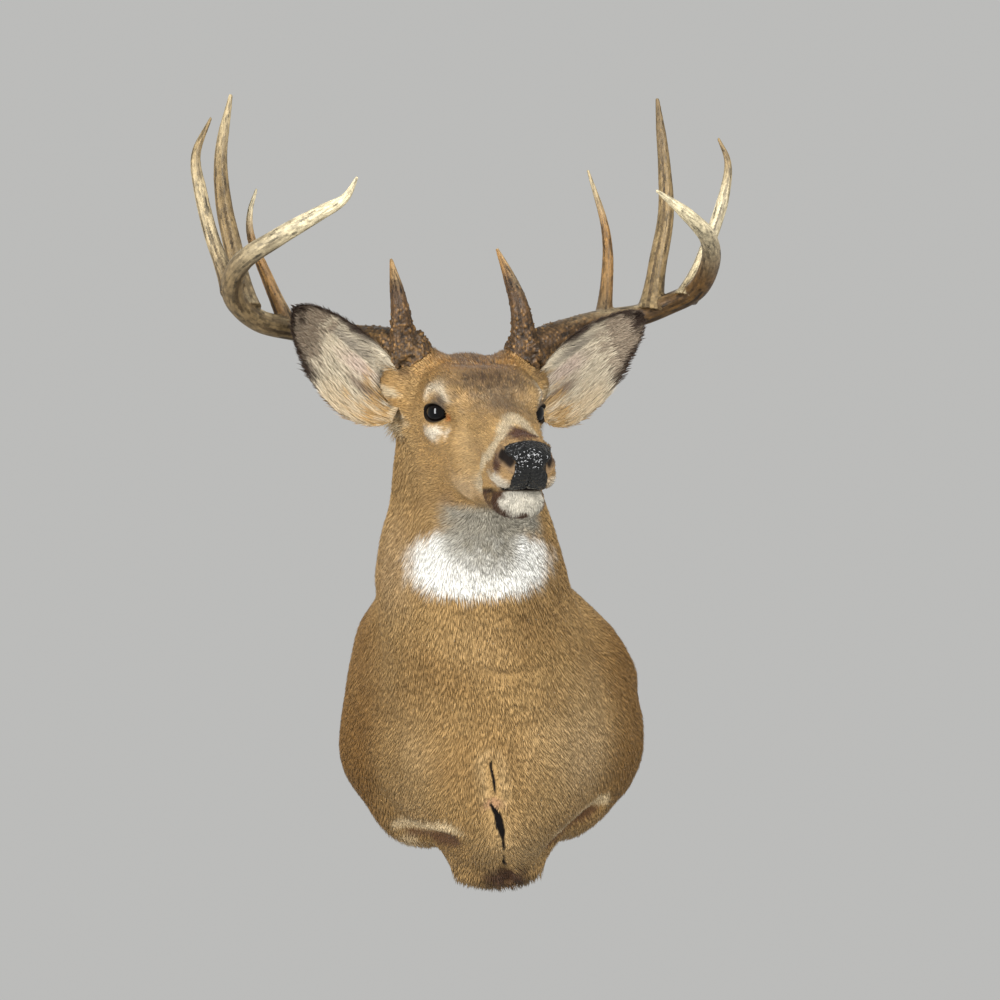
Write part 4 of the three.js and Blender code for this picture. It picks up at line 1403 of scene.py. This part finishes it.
def hair_of_hide(name, spread):
    """Deer hair: dull and slightly waxy, darker at the root, paler at the tip, each lock its
    own shade by up to the spread, which gives the eye a brindled, brushed coat."""
    made, tree, shader = material(name)
    coat = attribute(tree, "coat", "Color")
    along = add(tree, "ShaderNodeSeparateXYZ", {0: attribute(tree, "blade", "Vector")})
    tip = ranged(tree, along.outputs["Y"], {"To Min": 0.8, "To Max": 1.1})
    shades = {"To Min": 1 - spread, "To Max": 1 + spread}
    lock = ranged(tree, attribute(tree, "shade", "Fac"), shades)
    # white hair is white to its root, so its locks differ less
    parts = add(tree, "ShaderNodeSeparateColor", {0: coat})
    limits = {"From Min": 0.25, "From Max": 0.75, "To Max": 0.65}
    evenness = ranged(tree, parts.outputs["Blue"], limits)
    inputs = {"Factor": evenness, "A": product(tree, tip, lock), "B": 1.0}
    light = result(add(tree, "ShaderNodeMix", inputs))
    tone = scaled(tree, coat, light)
    fill(shader, {"Base Color": tone, "Roughness": 0.58, "Specular IOR Level": 0.28})
    return made


def tanned_hide():
    """The skin under the hair: dull, a shade darker than its coat, with a fine nap."""
    made, tree, shader = material("tanned_hide_with_underfur")
    coat = attribute(tree, "coat", "Color")
    nap = noise(tree, own_place(tree), 900.0, 3.0)
    dark = ranged(tree, nap, {"To Min": 0.55, "To Max": 0.95})
    fill(shader, {"Base Color": scaled(tree, coat, dark), "Normal": bumps(tree, nap, 0.0008)})
    fill(shader, {"Roughness": 0.8, "Specular IOR Level": 0.12})
    return made


def wet_nose():
    """Nose leather, lacquered to look wet: black, pebbled every millimetre or so, with a
    broken shine."""
    made, tree, shader = material("lacquered_nose_leather")
    pebbles = add(
        tree,
        "ShaderNodeTexVoronoi",
        {"Vector": own_place(tree), "Scale": 340.0, "Randomness": 0.9},
        feature="SMOOTH_F1",
    )
    limits = {"From Max": 0.6, "To Min": 1.0, "To Max": 0.0}
    height = ranged(tree, pebbles.outputs["Distance"], limits)
    bump = bumps(tree, height, 0.0013)
    tone = blend(tree, height, (0.002, 0.002, 0.002), (0.006, 0.006, 0.006))
    fill(shader, {"Base Color": tone, "Normal": bump, "Coat Normal": bump})
    fill(shader, {"Roughness": 0.3, "Specular IOR Level": 0.05})
    fill(shader, {"Coat Weight": 0.7, "Coat Roughness": 0.19})
    return made


# ---------------------------------------------------------------- antlers
ANTLERS = {
    "right": {
        "out": -1,
        "beam": [
            (56, -84, 32), (63, -90, 41), (90, -111, 48), (135, -137, 49), (181, -146, 54),
            (225, -133, 66), (258, -106, 98), (259, -66, 140), (226, -25, 178), (191, 3, 208),
            (169, 16, 226), (158, 20, 249),
        ],
        "brow": [(72, -92, 48), (81, -90, 95), (87, -118, 140)],
        "second": [
            (190, -146, 58), (210, -170, 103), (228, -190, 148), (228, -201, 172), (220, -212, 196)
        ],
        "third": [
            (240, -124, 80), (251, -159, 137), (260, -182, 182), (262, -205, 232), (250, -230, 295)
        ],
        "fourth": [
            (260, -98, 106), (278, -132, 152), (290, -157, 201), (294, -172, 236), (277, -188, 275)
        ],
    },
    "left": {
        "out": 1,
        "beam": [
            (56, -84, 32), (63, -91, 43), (108, -113, 60), (161, -140, 70), (211, -152, 76),
            (239, -141, 91), (260, -111, 114), (259, -70, 153), (239, -28, 187), (211, 2, 210),
            (187, 16, 227), (159, 21, 245),
        ],
        "brow": [(62, -88, 50), (52, -90, 97), (43, -107, 125), (31, -122, 153)],
        "second": [
            (165, -142, 70), (174, -169, 112), (177, -185, 143), (174, -198, 172), (157, -221, 227)
        ],
        "third": [
            (222, -148, 82), (230, -164, 128), (243, -188, 184), (243, -207, 233), (236, -234, 309)
        ],
        "fourth": [
            (252, -120, 102), (273, -139, 140), (303, -168, 212), (308, -181, 248), (297, -189, 273)
        ],
    },
}
RADII = {
    "beam": [19, 18, 14.5, 13, 12.5, 12, 11.5, 11, 10, 9, 7, 1.6],
    "brow": [14, 11, 7.5, 1.8],
    "second": [9, 7.5, 6.5, 5, 3.5, 1.6],
    "third": [12.5, 10.5, 10, 9, 7.5, 5.8, 2.2],
    "fourth": [11, 8, 7.5, 7, 4.8, 1.6],
}
RODS = list(RADII)
BURR = {"radius": 25, "at": 0.035, "length": 0.016}
CURVE_STEPS = 40
RING_SPACING = 2.0
ROD_SIDES = 20
ANTLER_VOXEL = 0.00135


def run_lengths(stops, power=1):
    """The length of the line up to each stop, each stretch raised to a power."""
    return np.concatenate([[0], np.cumsum(np.linalg.norm(np.diff(stops, axis=0), axis=1) ** power)])


def curve_through(stops):
    """A smooth line through the stops, with the knots spaced by the root of their distance."""
    stops = np.array(stops, float)
    stops = np.concatenate([[2 * stops[0] - stops[1]], stops, [2 * stops[-1] - stops[-2]]])
    made = []
    for i in range(1, len(stops) - 2):
        p = stops[i - 1 : i + 3]
        knots = run_lengths(p, 0.5)
        t = np.linspace(knots[1], knots[2], CURVE_STEPS, endpoint=i == len(stops) - 3)[:, None]
        level = list(p)
        for width in (1, 2):
            level = [
                ((knots[j + width] - t) * level[j] + (t - knots[j]) * level[j + 1])
                / (knots[j + width] - knots[j])
                for j in range(4 - width)
            ]
        # the last blend runs only between the two middle knots
        a, b = level
        made.append(((knots[2] - t) * a + (t - knots[1]) * b) / (knots[2] - knots[1]))
    return np.concatenate(made)


def make_rod(kind, stops):
    """A tapering round rod along its stops, and for each corner its place on it."""
    line = curve_through(stops)
    lengths = run_lengths(line)
    total = lengths[-1]
    rings = int(total / RING_SPACING)
    share = np.linspace(0, 1, rings)
    path = np.stack([np.interp(share * total, lengths, line[:, i]) for i in range(3)], 1)
    radii = RADII[kind]
    radius = np.interp(share, np.linspace(0, 1, len(radii)), radii)
    if kind == "beam":
        ring = hump(share, BURR["at"], BURR["length"])
        radius = radius + (BURR["radius"] - radius) * ring
    else:
        radius = radius * (1 + 0.35 * np.exp(-share * total / 14))
    tangent = unit(np.gradient(path, axis=0))
    normal = unit(np.cross(tangent[0], [0.3, 0.2, 0.9]))
    points, facts = [], []
    turn = np.linspace(0, 2 * math.pi, ROD_SIDES, endpoint=False)
    for i in range(rings):
        normal = unit(normal - tangent[i] * (normal @ tangent[i]))
        over = np.cross(tangent[i], normal)
        around = np.cos(turn)[:, None] * normal + np.sin(turn)[:, None] * over
        points.append(path[i] + around * radius[i])
        same = np.ones(ROD_SIDES)
        known = (RODS.index(kind) * same, share[i] * same, turn, share[i] * total * same)
        facts.append(np.stack([*known, radius[i] * same], 1))
    faces = tube_faces(rings, ROD_SIDES)
    faces.append(tuple(range(ROD_SIDES))[::-1])
    faces.append(tuple(range((rings - 1) * ROD_SIDES, rings * ROD_SIDES)))
    return np.concatenate(points), faces, np.concatenate(facts)


def antler_shape(name):
    """The beam and tines of one antler grown into one piece, with each corner's place."""
    out = ANTLERS[name]["out"]
    points, faces, facts = [], [], []
    for kind in RODS:
        stops = [head_point(s * out, f, u) for s, f, u in ANTLERS[name][kind]]
        some, loops, known = make_rod(kind, stops)
        start = sum(len(p) for p in points)
        points.append(some)
        faces += [tuple(start + i for i in loop) for loop in loops]
        facts.append(known)
    points = np.concatenate(points)
    facts = np.concatenate(facts)
    piece = mesh_object(f"antler_{name}", points, faces)
    step = piece.modifiers.new("grow together", "REMESH")
    step.mode = "VOXEL"
    step.voxel_size = ANTLER_VOXEL
    step = piece.modifiers.new("soften", "SMOOTH")
    step.factor = 0.5
    step.iterations = 4
    finished(piece)
    tree = place_finder(points)
    nearest = [tree.find(point)[1] for point in places(piece.data)]
    return piece, facts[nearest]


CREAM_BONE = colour("#c6b998")
PALE_BONE = colour("#a39372")
TAN_BONE = colour("#7e6a48")
OLIVE_BONE = colour("#6c5b40")
AMBER_BONE = colour("#8b683b")
BROWN_BONE = colour("#5a4224")
UMBER_BONE = colour("#46311d")
DARK_BONE = colour("#33271b")
# each rod's colour at its root, along most of it, and at its tip
BONE_COLOURS = {
    "right": {
        "beam": (BROWN_BONE, OLIVE_BONE, CREAM_BONE),
        "brow": (UMBER_BONE, UMBER_BONE, AMBER_BONE),
        "second": (BROWN_BONE, AMBER_BONE, CREAM_BONE),
        "third": (OLIVE_BONE, TAN_BONE, PALE_BONE),
        "fourth": (OLIVE_BONE, PALE_BONE, TAN_BONE),
    },
    "left": {
        "beam": (UMBER_BONE, BROWN_BONE, CREAM_BONE),
        "brow": (UMBER_BONE, UMBER_BONE, AMBER_BONE),
        "second": (BROWN_BONE, AMBER_BONE, PALE_BONE),
        "third": (TAN_BONE, TAN_BONE, OLIVE_BONE),
        "fourth": (PALE_BONE, CREAM_BONE, TAN_BONE),
    },
}


def make_antler(name, bone):
    piece, facts = antler_shape(name)
    kind, share, turn, length, radius = facts.T
    points = places(piece.data)
    beam, brow = kind == RODS.index("beam"), kind == RODS.index("brow")
    # long grooves that wander round the rod, and pearls about the burr and up the brow tine
    drift = 0.9 * np.sin(length / 47 + kind) + 0.5 * np.sin(length / 19 + 2 * kind)
    grooves = sum(
        np.cos(k * turn + phase + drift * way)
        for k, phase, way in ((3, 0.4, 1), (5, 2.1, -1), (7, 4.0, 1), (11, 1.3, -1))
    )
    grooves = grooves / 4 + 0.25 * waver(points, 26, 51)
    to_tip = smooth(0.55, 1.0, share)
    rough = np.where(brow, smooth(0.85, 0.15, share), 0.12)
    rough = np.where(beam, smooth(0.34, 0.04, share), rough)
    at_burr = beam * hump(share, BURR["at"], 0.03)
    pearls = waver(points, 8.5, 52) * waver(points, 6.2, 53)
    fine = waver(points, 4.2, 54)
    push = -0.55 * smooth(0.1, 0.9, grooves) * (1 - to_tip) * np.clip(radius / 10, 0.4, 1.3)
    push += rough * (1.5 * smooth(0.1, 0.8, pearls) + 0.35 * fine)
    push += at_burr * (1.8 * waver(points, 9, 55) + 0.8 * fine)
    put_places(piece.data, points + normals(piece.data) * push[:, None])
    patchy_top_light = 0.5 + 0.5 * waver(points, 60, 56)
    tones = np.zeros((len(points), 3))
    for number, rod in enumerate(RODS):
        root, middle, tip = BONE_COLOURS[name][rod]
        mine = kind == number
        along = paint(np.repeat(root[None], mine.sum(), 0), smooth(0.0, 0.4, share[mine]), middle)
        tones[mine] = paint(along, smooth(0.58, 0.92, share[mine]), tip)
    # painted light: faces turned upwards are lightened towards cream, in patches, where the bone is
    # smooth
    upper = smooth(0.1, 0.9, normals(piece.data)[:, 2])
    tones = paint(tones, (0.1 + 0.4 * patchy_top_light) * upper * (1 - rough), CREAM_BONE)
    tones = paint(tones, rough * 0.5, BROWN_BONE * 1.15)
    tones = paint(tones, smooth(0.0, 0.6, grooves) * (1 - 0.7 * to_tip) * 0.7, DARK_BONE)
    tones = paint(tones, rough * smooth(0.2, -0.4, pearls + 0.5 * fine) * 0.85, DARK_BONE)
    tones = paint(tones, rough * smooth(0.2, 0.75, pearls) * 0.75, AMBER_BONE)
    grain = np.stack([np.cos(turn) * radius, np.sin(turn) * radius, length / 7], 1) * MM
    put_colour(piece.data, "tone", tones)
    put(piece.data, "grain", "FLOAT_VECTOR", grain)
    return finish_piece(piece, bone)


def antler_bone():
    """Weathered antler: bone polished along the tines and stained brown in its grooves, with
    fine streaks along each rod a fraction of a millimetre wide, drawn coarser to show."""
    made, tree, shader = material("weathered_antler_bone")
    tone = attribute(tree, "tone", "Color")
    grain = attribute(tree, "grain", "Vector")
    streaks = noise(tree, grain, 620.0, 4.0, Roughness=0.6)
    limits = {"From Min": 0.34, "From Max": 0.6, "To Min": 0.42, "To Max": 1.25}
    dark = ranged(tree, streaks, limits)
    pits = noise(tree, grain, 330.0, 2.0)
    stained = ranged(tree, pits, {"From Min": 0.36, "From Max": 0.42, "To Min": 0.4})
    mixed = scaled(tree, tone, product(tree, dark, stained))
    fill(shader, {"Base Color": mixed, "Normal": bumps(tree, streaks, 0.0007)})
    fill(shader, {"Roughness": 0.46, "Specular IOR Level": 0.25})
    return made


# ---------------------------------------------------------------- eyes
EYE_INSET = 0.15
EYE_RINGS = 64
EYE_SEGMENTS = 96


def make_eye(out, name, glass):
    """A glass ball with a dark iris and the level pupil of a deer painted behind its front."""
    centre, front, over, look = eye_frame(out)
    points, faces = [], []
    rings, segments = EYE_RINGS, EYE_SEGMENTS
    for i in range(rings + 1):
        tall = math.pi * i / rings
        for j in range(segments):
            turn = 2 * math.pi * j / segments
            flat = math.sin(tall) * (math.cos(turn) * front + math.sin(turn) * over)
            points.append(centre + (EYE_RADIUS - EYE_INSET) * (flat + math.cos(tall) * look))
    for i in range(rings):
        for j in range(segments):
            k = (j + 1) % segments
            row = i * segments
            faces.append((row + j, row + segments + j, row + segments + k, row + k))
    piece = mesh_object(name, points, faces)
    work = bmesh.new()
    work.from_mesh(piece.data)
    bmesh.ops.remove_doubles(work, verts=work.verts, dist=1e-6)
    bmesh.ops.recalc_face_normals(work, faces=work.faces)
    work.to_mesh(piece.data)
    work.free()
    q = (places(piece.data) - centre) / EYE_RADIUS
    x, y, z = q @ front, q @ over, q @ look
    away = np.hypot(x, y) + 2 * (z < 0)
    tones = np.repeat(colour("#0d0a09")[None], len(q), 0)
    tones = paint(tones, smooth(0.72, 0.62, away), colour("#080504"))
    pupil = np.hypot(x / 0.46, y / 0.3)
    tones = paint(tones, smooth(1.1, 0.9, pupil) * (z > 0), colour("#050506"))
    put_colour(piece.data, "tone", tones)
    return finish_piece(piece, glass)


def eye_glass():
    """Clear glass over a painted back: nearly black, with a mirror-sharp skin."""
    made, tree, shader = material("painted_glass_eye")
    fill(shader, {"Base Color": attribute(tree, "tone", "Color"), "Roughness": 0.04})
    fill(shader, {"IOR": 1.52, "Specular IOR Level": 0.2})
    return made


# ---------------------------------------------------------------- the back
def plywood():
    """Birch plywood, rotary cut and unfinished: pale, dull, with long wavy grain."""
    made, tree, shader = material("birch_plywood")
    inputs = {"Vector": own_place(tree), "Scale": (60.0, 60.0, 7.0)}
    turned = result(add(tree, "ShaderNodeMapping", inputs))
    grain = noise(tree, turned, 1.0, 5.0, Distortion=1.2)
    tone = blend(tree, grain, colour("#a9804f"), colour("#d3b380"))
    fill(shader, {"Base Color": tone, "Normal": bumps(tree, grain, 0.0004), "Roughness": 0.7})
    return made


def zinc_steel(name, roughness):
    """Zinc-plated steel: grey, with cloudy spangles that break up the shine."""
    made, tree, shader = material(name)
    cloud = noise(tree, own_place(tree), 180.0, 2.0)
    tone = blend(tree, cloud, colour("#8f9296"), colour("#c2c5c8"))
    rough = ranged(tree, cloud, {"To Min": roughness - 0.1, "To Max": roughness + 0.1})
    fill(shader, {"Base Color": tone, "Roughness": rough, "Metallic": 1.0})
    return made


STAPLE_CROWN = 11.0
STAPLE_WIRE = 1.1
STAPLE_SPACING = 26.0
STAPLE_LINE = 0.4  # how far outside the board's edge, in mm
STAPLE_DEPTH = 0.45  # how far their middles lie in front of the wall


def staple_tree():
    """Staples set across a line at even steps, each a little askew."""
    inputs = {
        "Spacing": "Float",
        "Crown": "Float",
        "Wire": "Float",
        "Steel": "Material",
        "Seed": "Int",
    }
    tree, given = modifier_tree("staples_round_the_board", inputs)
    line = add(tree, "GeometryNodeMeshToCurve", {"Mesh": given["Geometry"]})
    steps = add(
        tree,
        "GeometryNodeCurveToPoints",
        {"Curve": result(line), "Length": given["Spacing"]},
        mode="LENGTH",
    )
    inputs = {"X": given["Wire"], "Y": given["Crown"], "Z": given["Wire"]}
    size = add(tree, "ShaderNodeCombineXYZ", inputs)
    bar = add(tree, "GeometryNodeMeshCube", {"Size": result(size)})
    facing = add(
        tree,
        "FunctionNodeAlignRotationToVector",
        {"Vector": steps.outputs["Tangent"]},
        axis="X",
    )
    facing = add(
        tree,
        "FunctionNodeAlignRotationToVector",
        {"Rotation": result(facing), "Vector": (0.0, 1.0, 0.0)},
        axis="Z",
        pivot_axis="X",
    )
    swing = chance(tree, "FLOAT", -0.5, 0.5, given["Seed"])
    skewed = add(tree, "ShaderNodeCombineXYZ", {"Z": swing})
    spun = add(tree, "FunctionNodeEulerToRotation", {0: result(skewed)})
    inputs = {0: result(facing), 1: result(spun)}
    final = add(tree, "FunctionNodeRotateRotation", inputs, rotation_space="LOCAL")
    staples = add(
        tree,
        "GeometryNodeInstanceOnPoints",
        {"Points": result(steps), "Instance": result(bar), "Rotation": result(final)},
    )
    real = add(tree, "GeometryNodeRealizeInstances", {"Geometry": result(staples)})
    inputs = {"Geometry": result(real), "Material": given["Steel"]}
    steel = add(tree, "GeometryNodeSetMaterial", inputs)
    add(tree, "NodeGroupOutput", {0: result(steel)})
    return tree


def make_staples(steel):
    outline = board_outline(STAPLE_LINE, 40)
    outline[:, 1] = -STAPLE_DEPTH
    count = len(outline)
    edges = [(i, (i + 1) % count) for i in range(count)]
    mesh = bpy.data.meshes.new("staples")
    mesh.from_pydata((outline * MM).tolist(), edges, [])
    piece = bpy.data.objects.new("staples", mesh)
    bpy.context.scene.collection.objects.link(piece)
    settings = {
        "Spacing": STAPLE_SPACING * MM,
        "Crown": STAPLE_CROWN * MM,
        "Wire": STAPLE_WIRE * MM,
        "Steel": steel,
        "Seed": 8,
    }
    run_tree(piece, staple_tree(), settings)
    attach(piece, "root")


# ---------------------------------------------------------------- the whole mount
def finish_piece(piece, finish):
    """Gives a piece its one material, soft shading, and its place in the model."""
    piece.data.materials.clear()
    piece.data.materials.append(finish)
    for face in piece.data.polygons:
        face.use_smooth = True
    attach(piece, "root")
    return piece


def face_mean(mesh, values):
    """The mean over each face of a value that its corners have."""
    counts = np.zeros(len(mesh.polygons), int)
    mesh.polygons.foreach_get("loop_total", counts)
    corners = np.zeros(len(mesh.loops), int)
    mesh.loops.foreach_get("vertex_index", corners)
    totals = np.bincount(np.repeat(np.arange(len(counts)), counts), values[corners])
    return totals / counts


DENSE_COAT = 30  # tufts to the square centimetre; the head and ears have more, the body less
SKIN_NODES = ("trunk", "neck", "cranium", "muzzle", "lower_jaw", "nose")
PAIRED_SKIN_NODES = ("foreleg_stub", "ear")


def dress_skin(skin, marks, hide, nose):
    mesh = skin.data
    put_colour(mesh, "coat", marks["coat"])
    mesh.materials.clear()
    mesh.materials.append(hide)
    mesh.materials.append(nose)
    bare = face_mean(mesh, marks["bare"])
    for face, share in zip(mesh.polygons, bare):
        face.use_smooth = True
        face.material_index = 1 if share > 0.5 else 0
    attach(skin, "root")
    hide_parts(*SKIN_NODES)
    for name in PAIRED_SKIN_NODES:
        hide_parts(f"{name}_right", f"{name}_left")


def coat_regions(mesh, marks):
    """Which faces each piece of the coat grows from, with its tufts' number and shape."""
    centres = face_centres(mesh)
    x, y, z = centres.T
    s, f, _ = head_coordinates(centres)
    part = face_mean(mesh, marks["part"])
    ear = np.abs(part) > 0.5
    head = ~ear & (headness(centres) > 0.5)
    body = ~ear & ~head & (y < -1.6)
    muzzle = head & (f > 45)
    rest = head & ~muzzle
    low = body & (z <= 60)
    return {
        # name: faces, tufts to the square centimetre, width in mm, looseness, shape
        "coat_muzzle": (muzzle, 40, 0.7, 0.05, SHORT_TUFT),
        "coat_head_right": (rest & (s < 0), 50, 0.95, 0.06, SHORT_TUFT),
        "coat_head_left": (rest & (s >= 0), 50, 0.95, 0.06, SHORT_TUFT),
        "coat_ear_right": (ear & (part < 0), 38, 0.8, 0.12, LONG_TUFT),
        "coat_ear_left": (ear & (part > 0), 38, 0.8, 0.12, LONG_TUFT),
        "coat_neck_right": (body & (z > 60) & (x < -16), 15.5, 1.2, 0.05, SHORT_TUFT),
        "coat_neck_left": (body & (z > 60) & (x >= -16), 15.5, 1.2, 0.05, SHORT_TUFT),
        "coat_breast": (low & (np.abs(x) < 66), 15.5, 1.2, 0.05, SHORT_TUFT),
        "coat_shoulder_right": (low & (x <= -66), 15.5, 1.2, 0.05, SHORT_TUFT),
        "coat_shoulder_left": (low & (x >= 66), 15.5, 1.2, 0.05, SHORT_TUFT),
    }


def make_mount():
    skin, ear_facts = make_skin()
    marks = mark_skin(skin, ear_facts)
    body_hair = hair_of_hide("brushed_body_hair", 0.12)
    face_hair = hair_of_hide("short_grizzled_face_hair", 0.26)
    for seed, (name, region) in enumerate(coat_regions(skin.data, marks).items()):
        wanted, density, width, looseness, tuft = region
        hair = face_hair if density > DENSE_COAT else body_hair
        piece = scalp(name, skin.data, marks, wanted)
        grow_coat(piece, density, width, looseness, tuft, hair, seed + 11)
        finish_piece(piece, hair)
    dress_skin(skin, marks, tanned_hide(), wet_nose())
    bone = antler_bone()
    for name in ANTLERS:
        antler = make_antler(name, bone)
        for kind in RODS[1:]:
            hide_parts(f"{kind}_tine_{name}")
        for number in range(1, 5):
            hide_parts(f"beam_{name}_{number}")
    glass = eye_glass()
    for name in ANTLERS:
        eye = make_eye(ANTLERS[name]["out"], f"glass_eye_{name}", glass)
        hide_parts(f"eye_{name}")
    steel = zinc_steel("zinc_plated_steel", 0.38)
    for node, finish in (("back_board", plywood()), ("hanger_plate", steel)):
        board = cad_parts[node]
        board.data.materials.clear()
        board.data.materials.append(finish)
    make_staples(zinc_steel("staple_wire", 0.3))


make_mount()


# ---------------------------------------------------------------- floor, light and camera
def stage_scene():
    scene = bpy.context.scene
    scene.view_settings.view_transform = "Standard"
    floor = bpy.data.meshes.new("floor")
    radius, level, sides = 1.3, -0.62, 96
    turns = [2 * math.pi * i / sides for i in range(sides)]
    rim = [(radius * math.cos(turn), radius * math.sin(turn), level) for turn in turns]
    floor.from_pydata(rim, [], [tuple(range(sides))])
    ground = bpy.data.objects.new("floor", floor)
    scene.collection.objects.link(ground)
    made, _, shader = material("pale_floor")
    shader.inputs["Base Color"].default_value = (*colour("#a9a9a6"), 1)
    shader.inputs["Roughness"].default_value = 0.9
    floor.materials.append(made)
    world = bpy.data.worlds.new("pale_room")
    world.use_nodes = True
    backdrop = world.node_tree.nodes["Background"]
    backdrop.inputs["Color"].default_value = (*colour("#dcdcda"), 1)
    backdrop.inputs["Strength"].default_value = 0.7
    scene.world = world
    # each lamp's place in metres, power in watts, width and height in metres
    for name, place, energy, wide, tall in (
        ("key", (0.85, -2.6, 1.2), 52, 0.32, 1.3),
        ("second_key", (1.5, -2.3, 1.2), 50, 0.32, 1.3),
        ("fill", (-2.0, -2.0, 0.4), 92, 0.6, 1.6),
        ("back", (-0.6, 1.6, 1.7), 8, 1.2, 1.2),
    ):
        light = bpy.data.lights.new(name, "AREA")
        light.shape = "RECTANGLE"
        light.size = wide
        light.size_y = tall
        light.energy = energy
        lamp = bpy.data.objects.new(name, light)
        lamp.location = place
        aim = Vector((0, -0.3, 0.2)) - Vector(place)
        lamp.rotation_euler = aim.to_track_quat("-Z", "Y").to_euler()
        scene.collection.objects.link(lamp)
    camera = bpy.data.cameras.new("camera")
    camera.lens = 96
    camera.sensor_width = 36
    eye = bpy.data.objects.new("camera", camera)
    eye.location = (0.010, -3.2, 0.240)
    eye.rotation_euler = (math.pi / 2, 0, 0)
    scene.collection.objects.link(eye)
    scene.camera = eye


stage_scene()
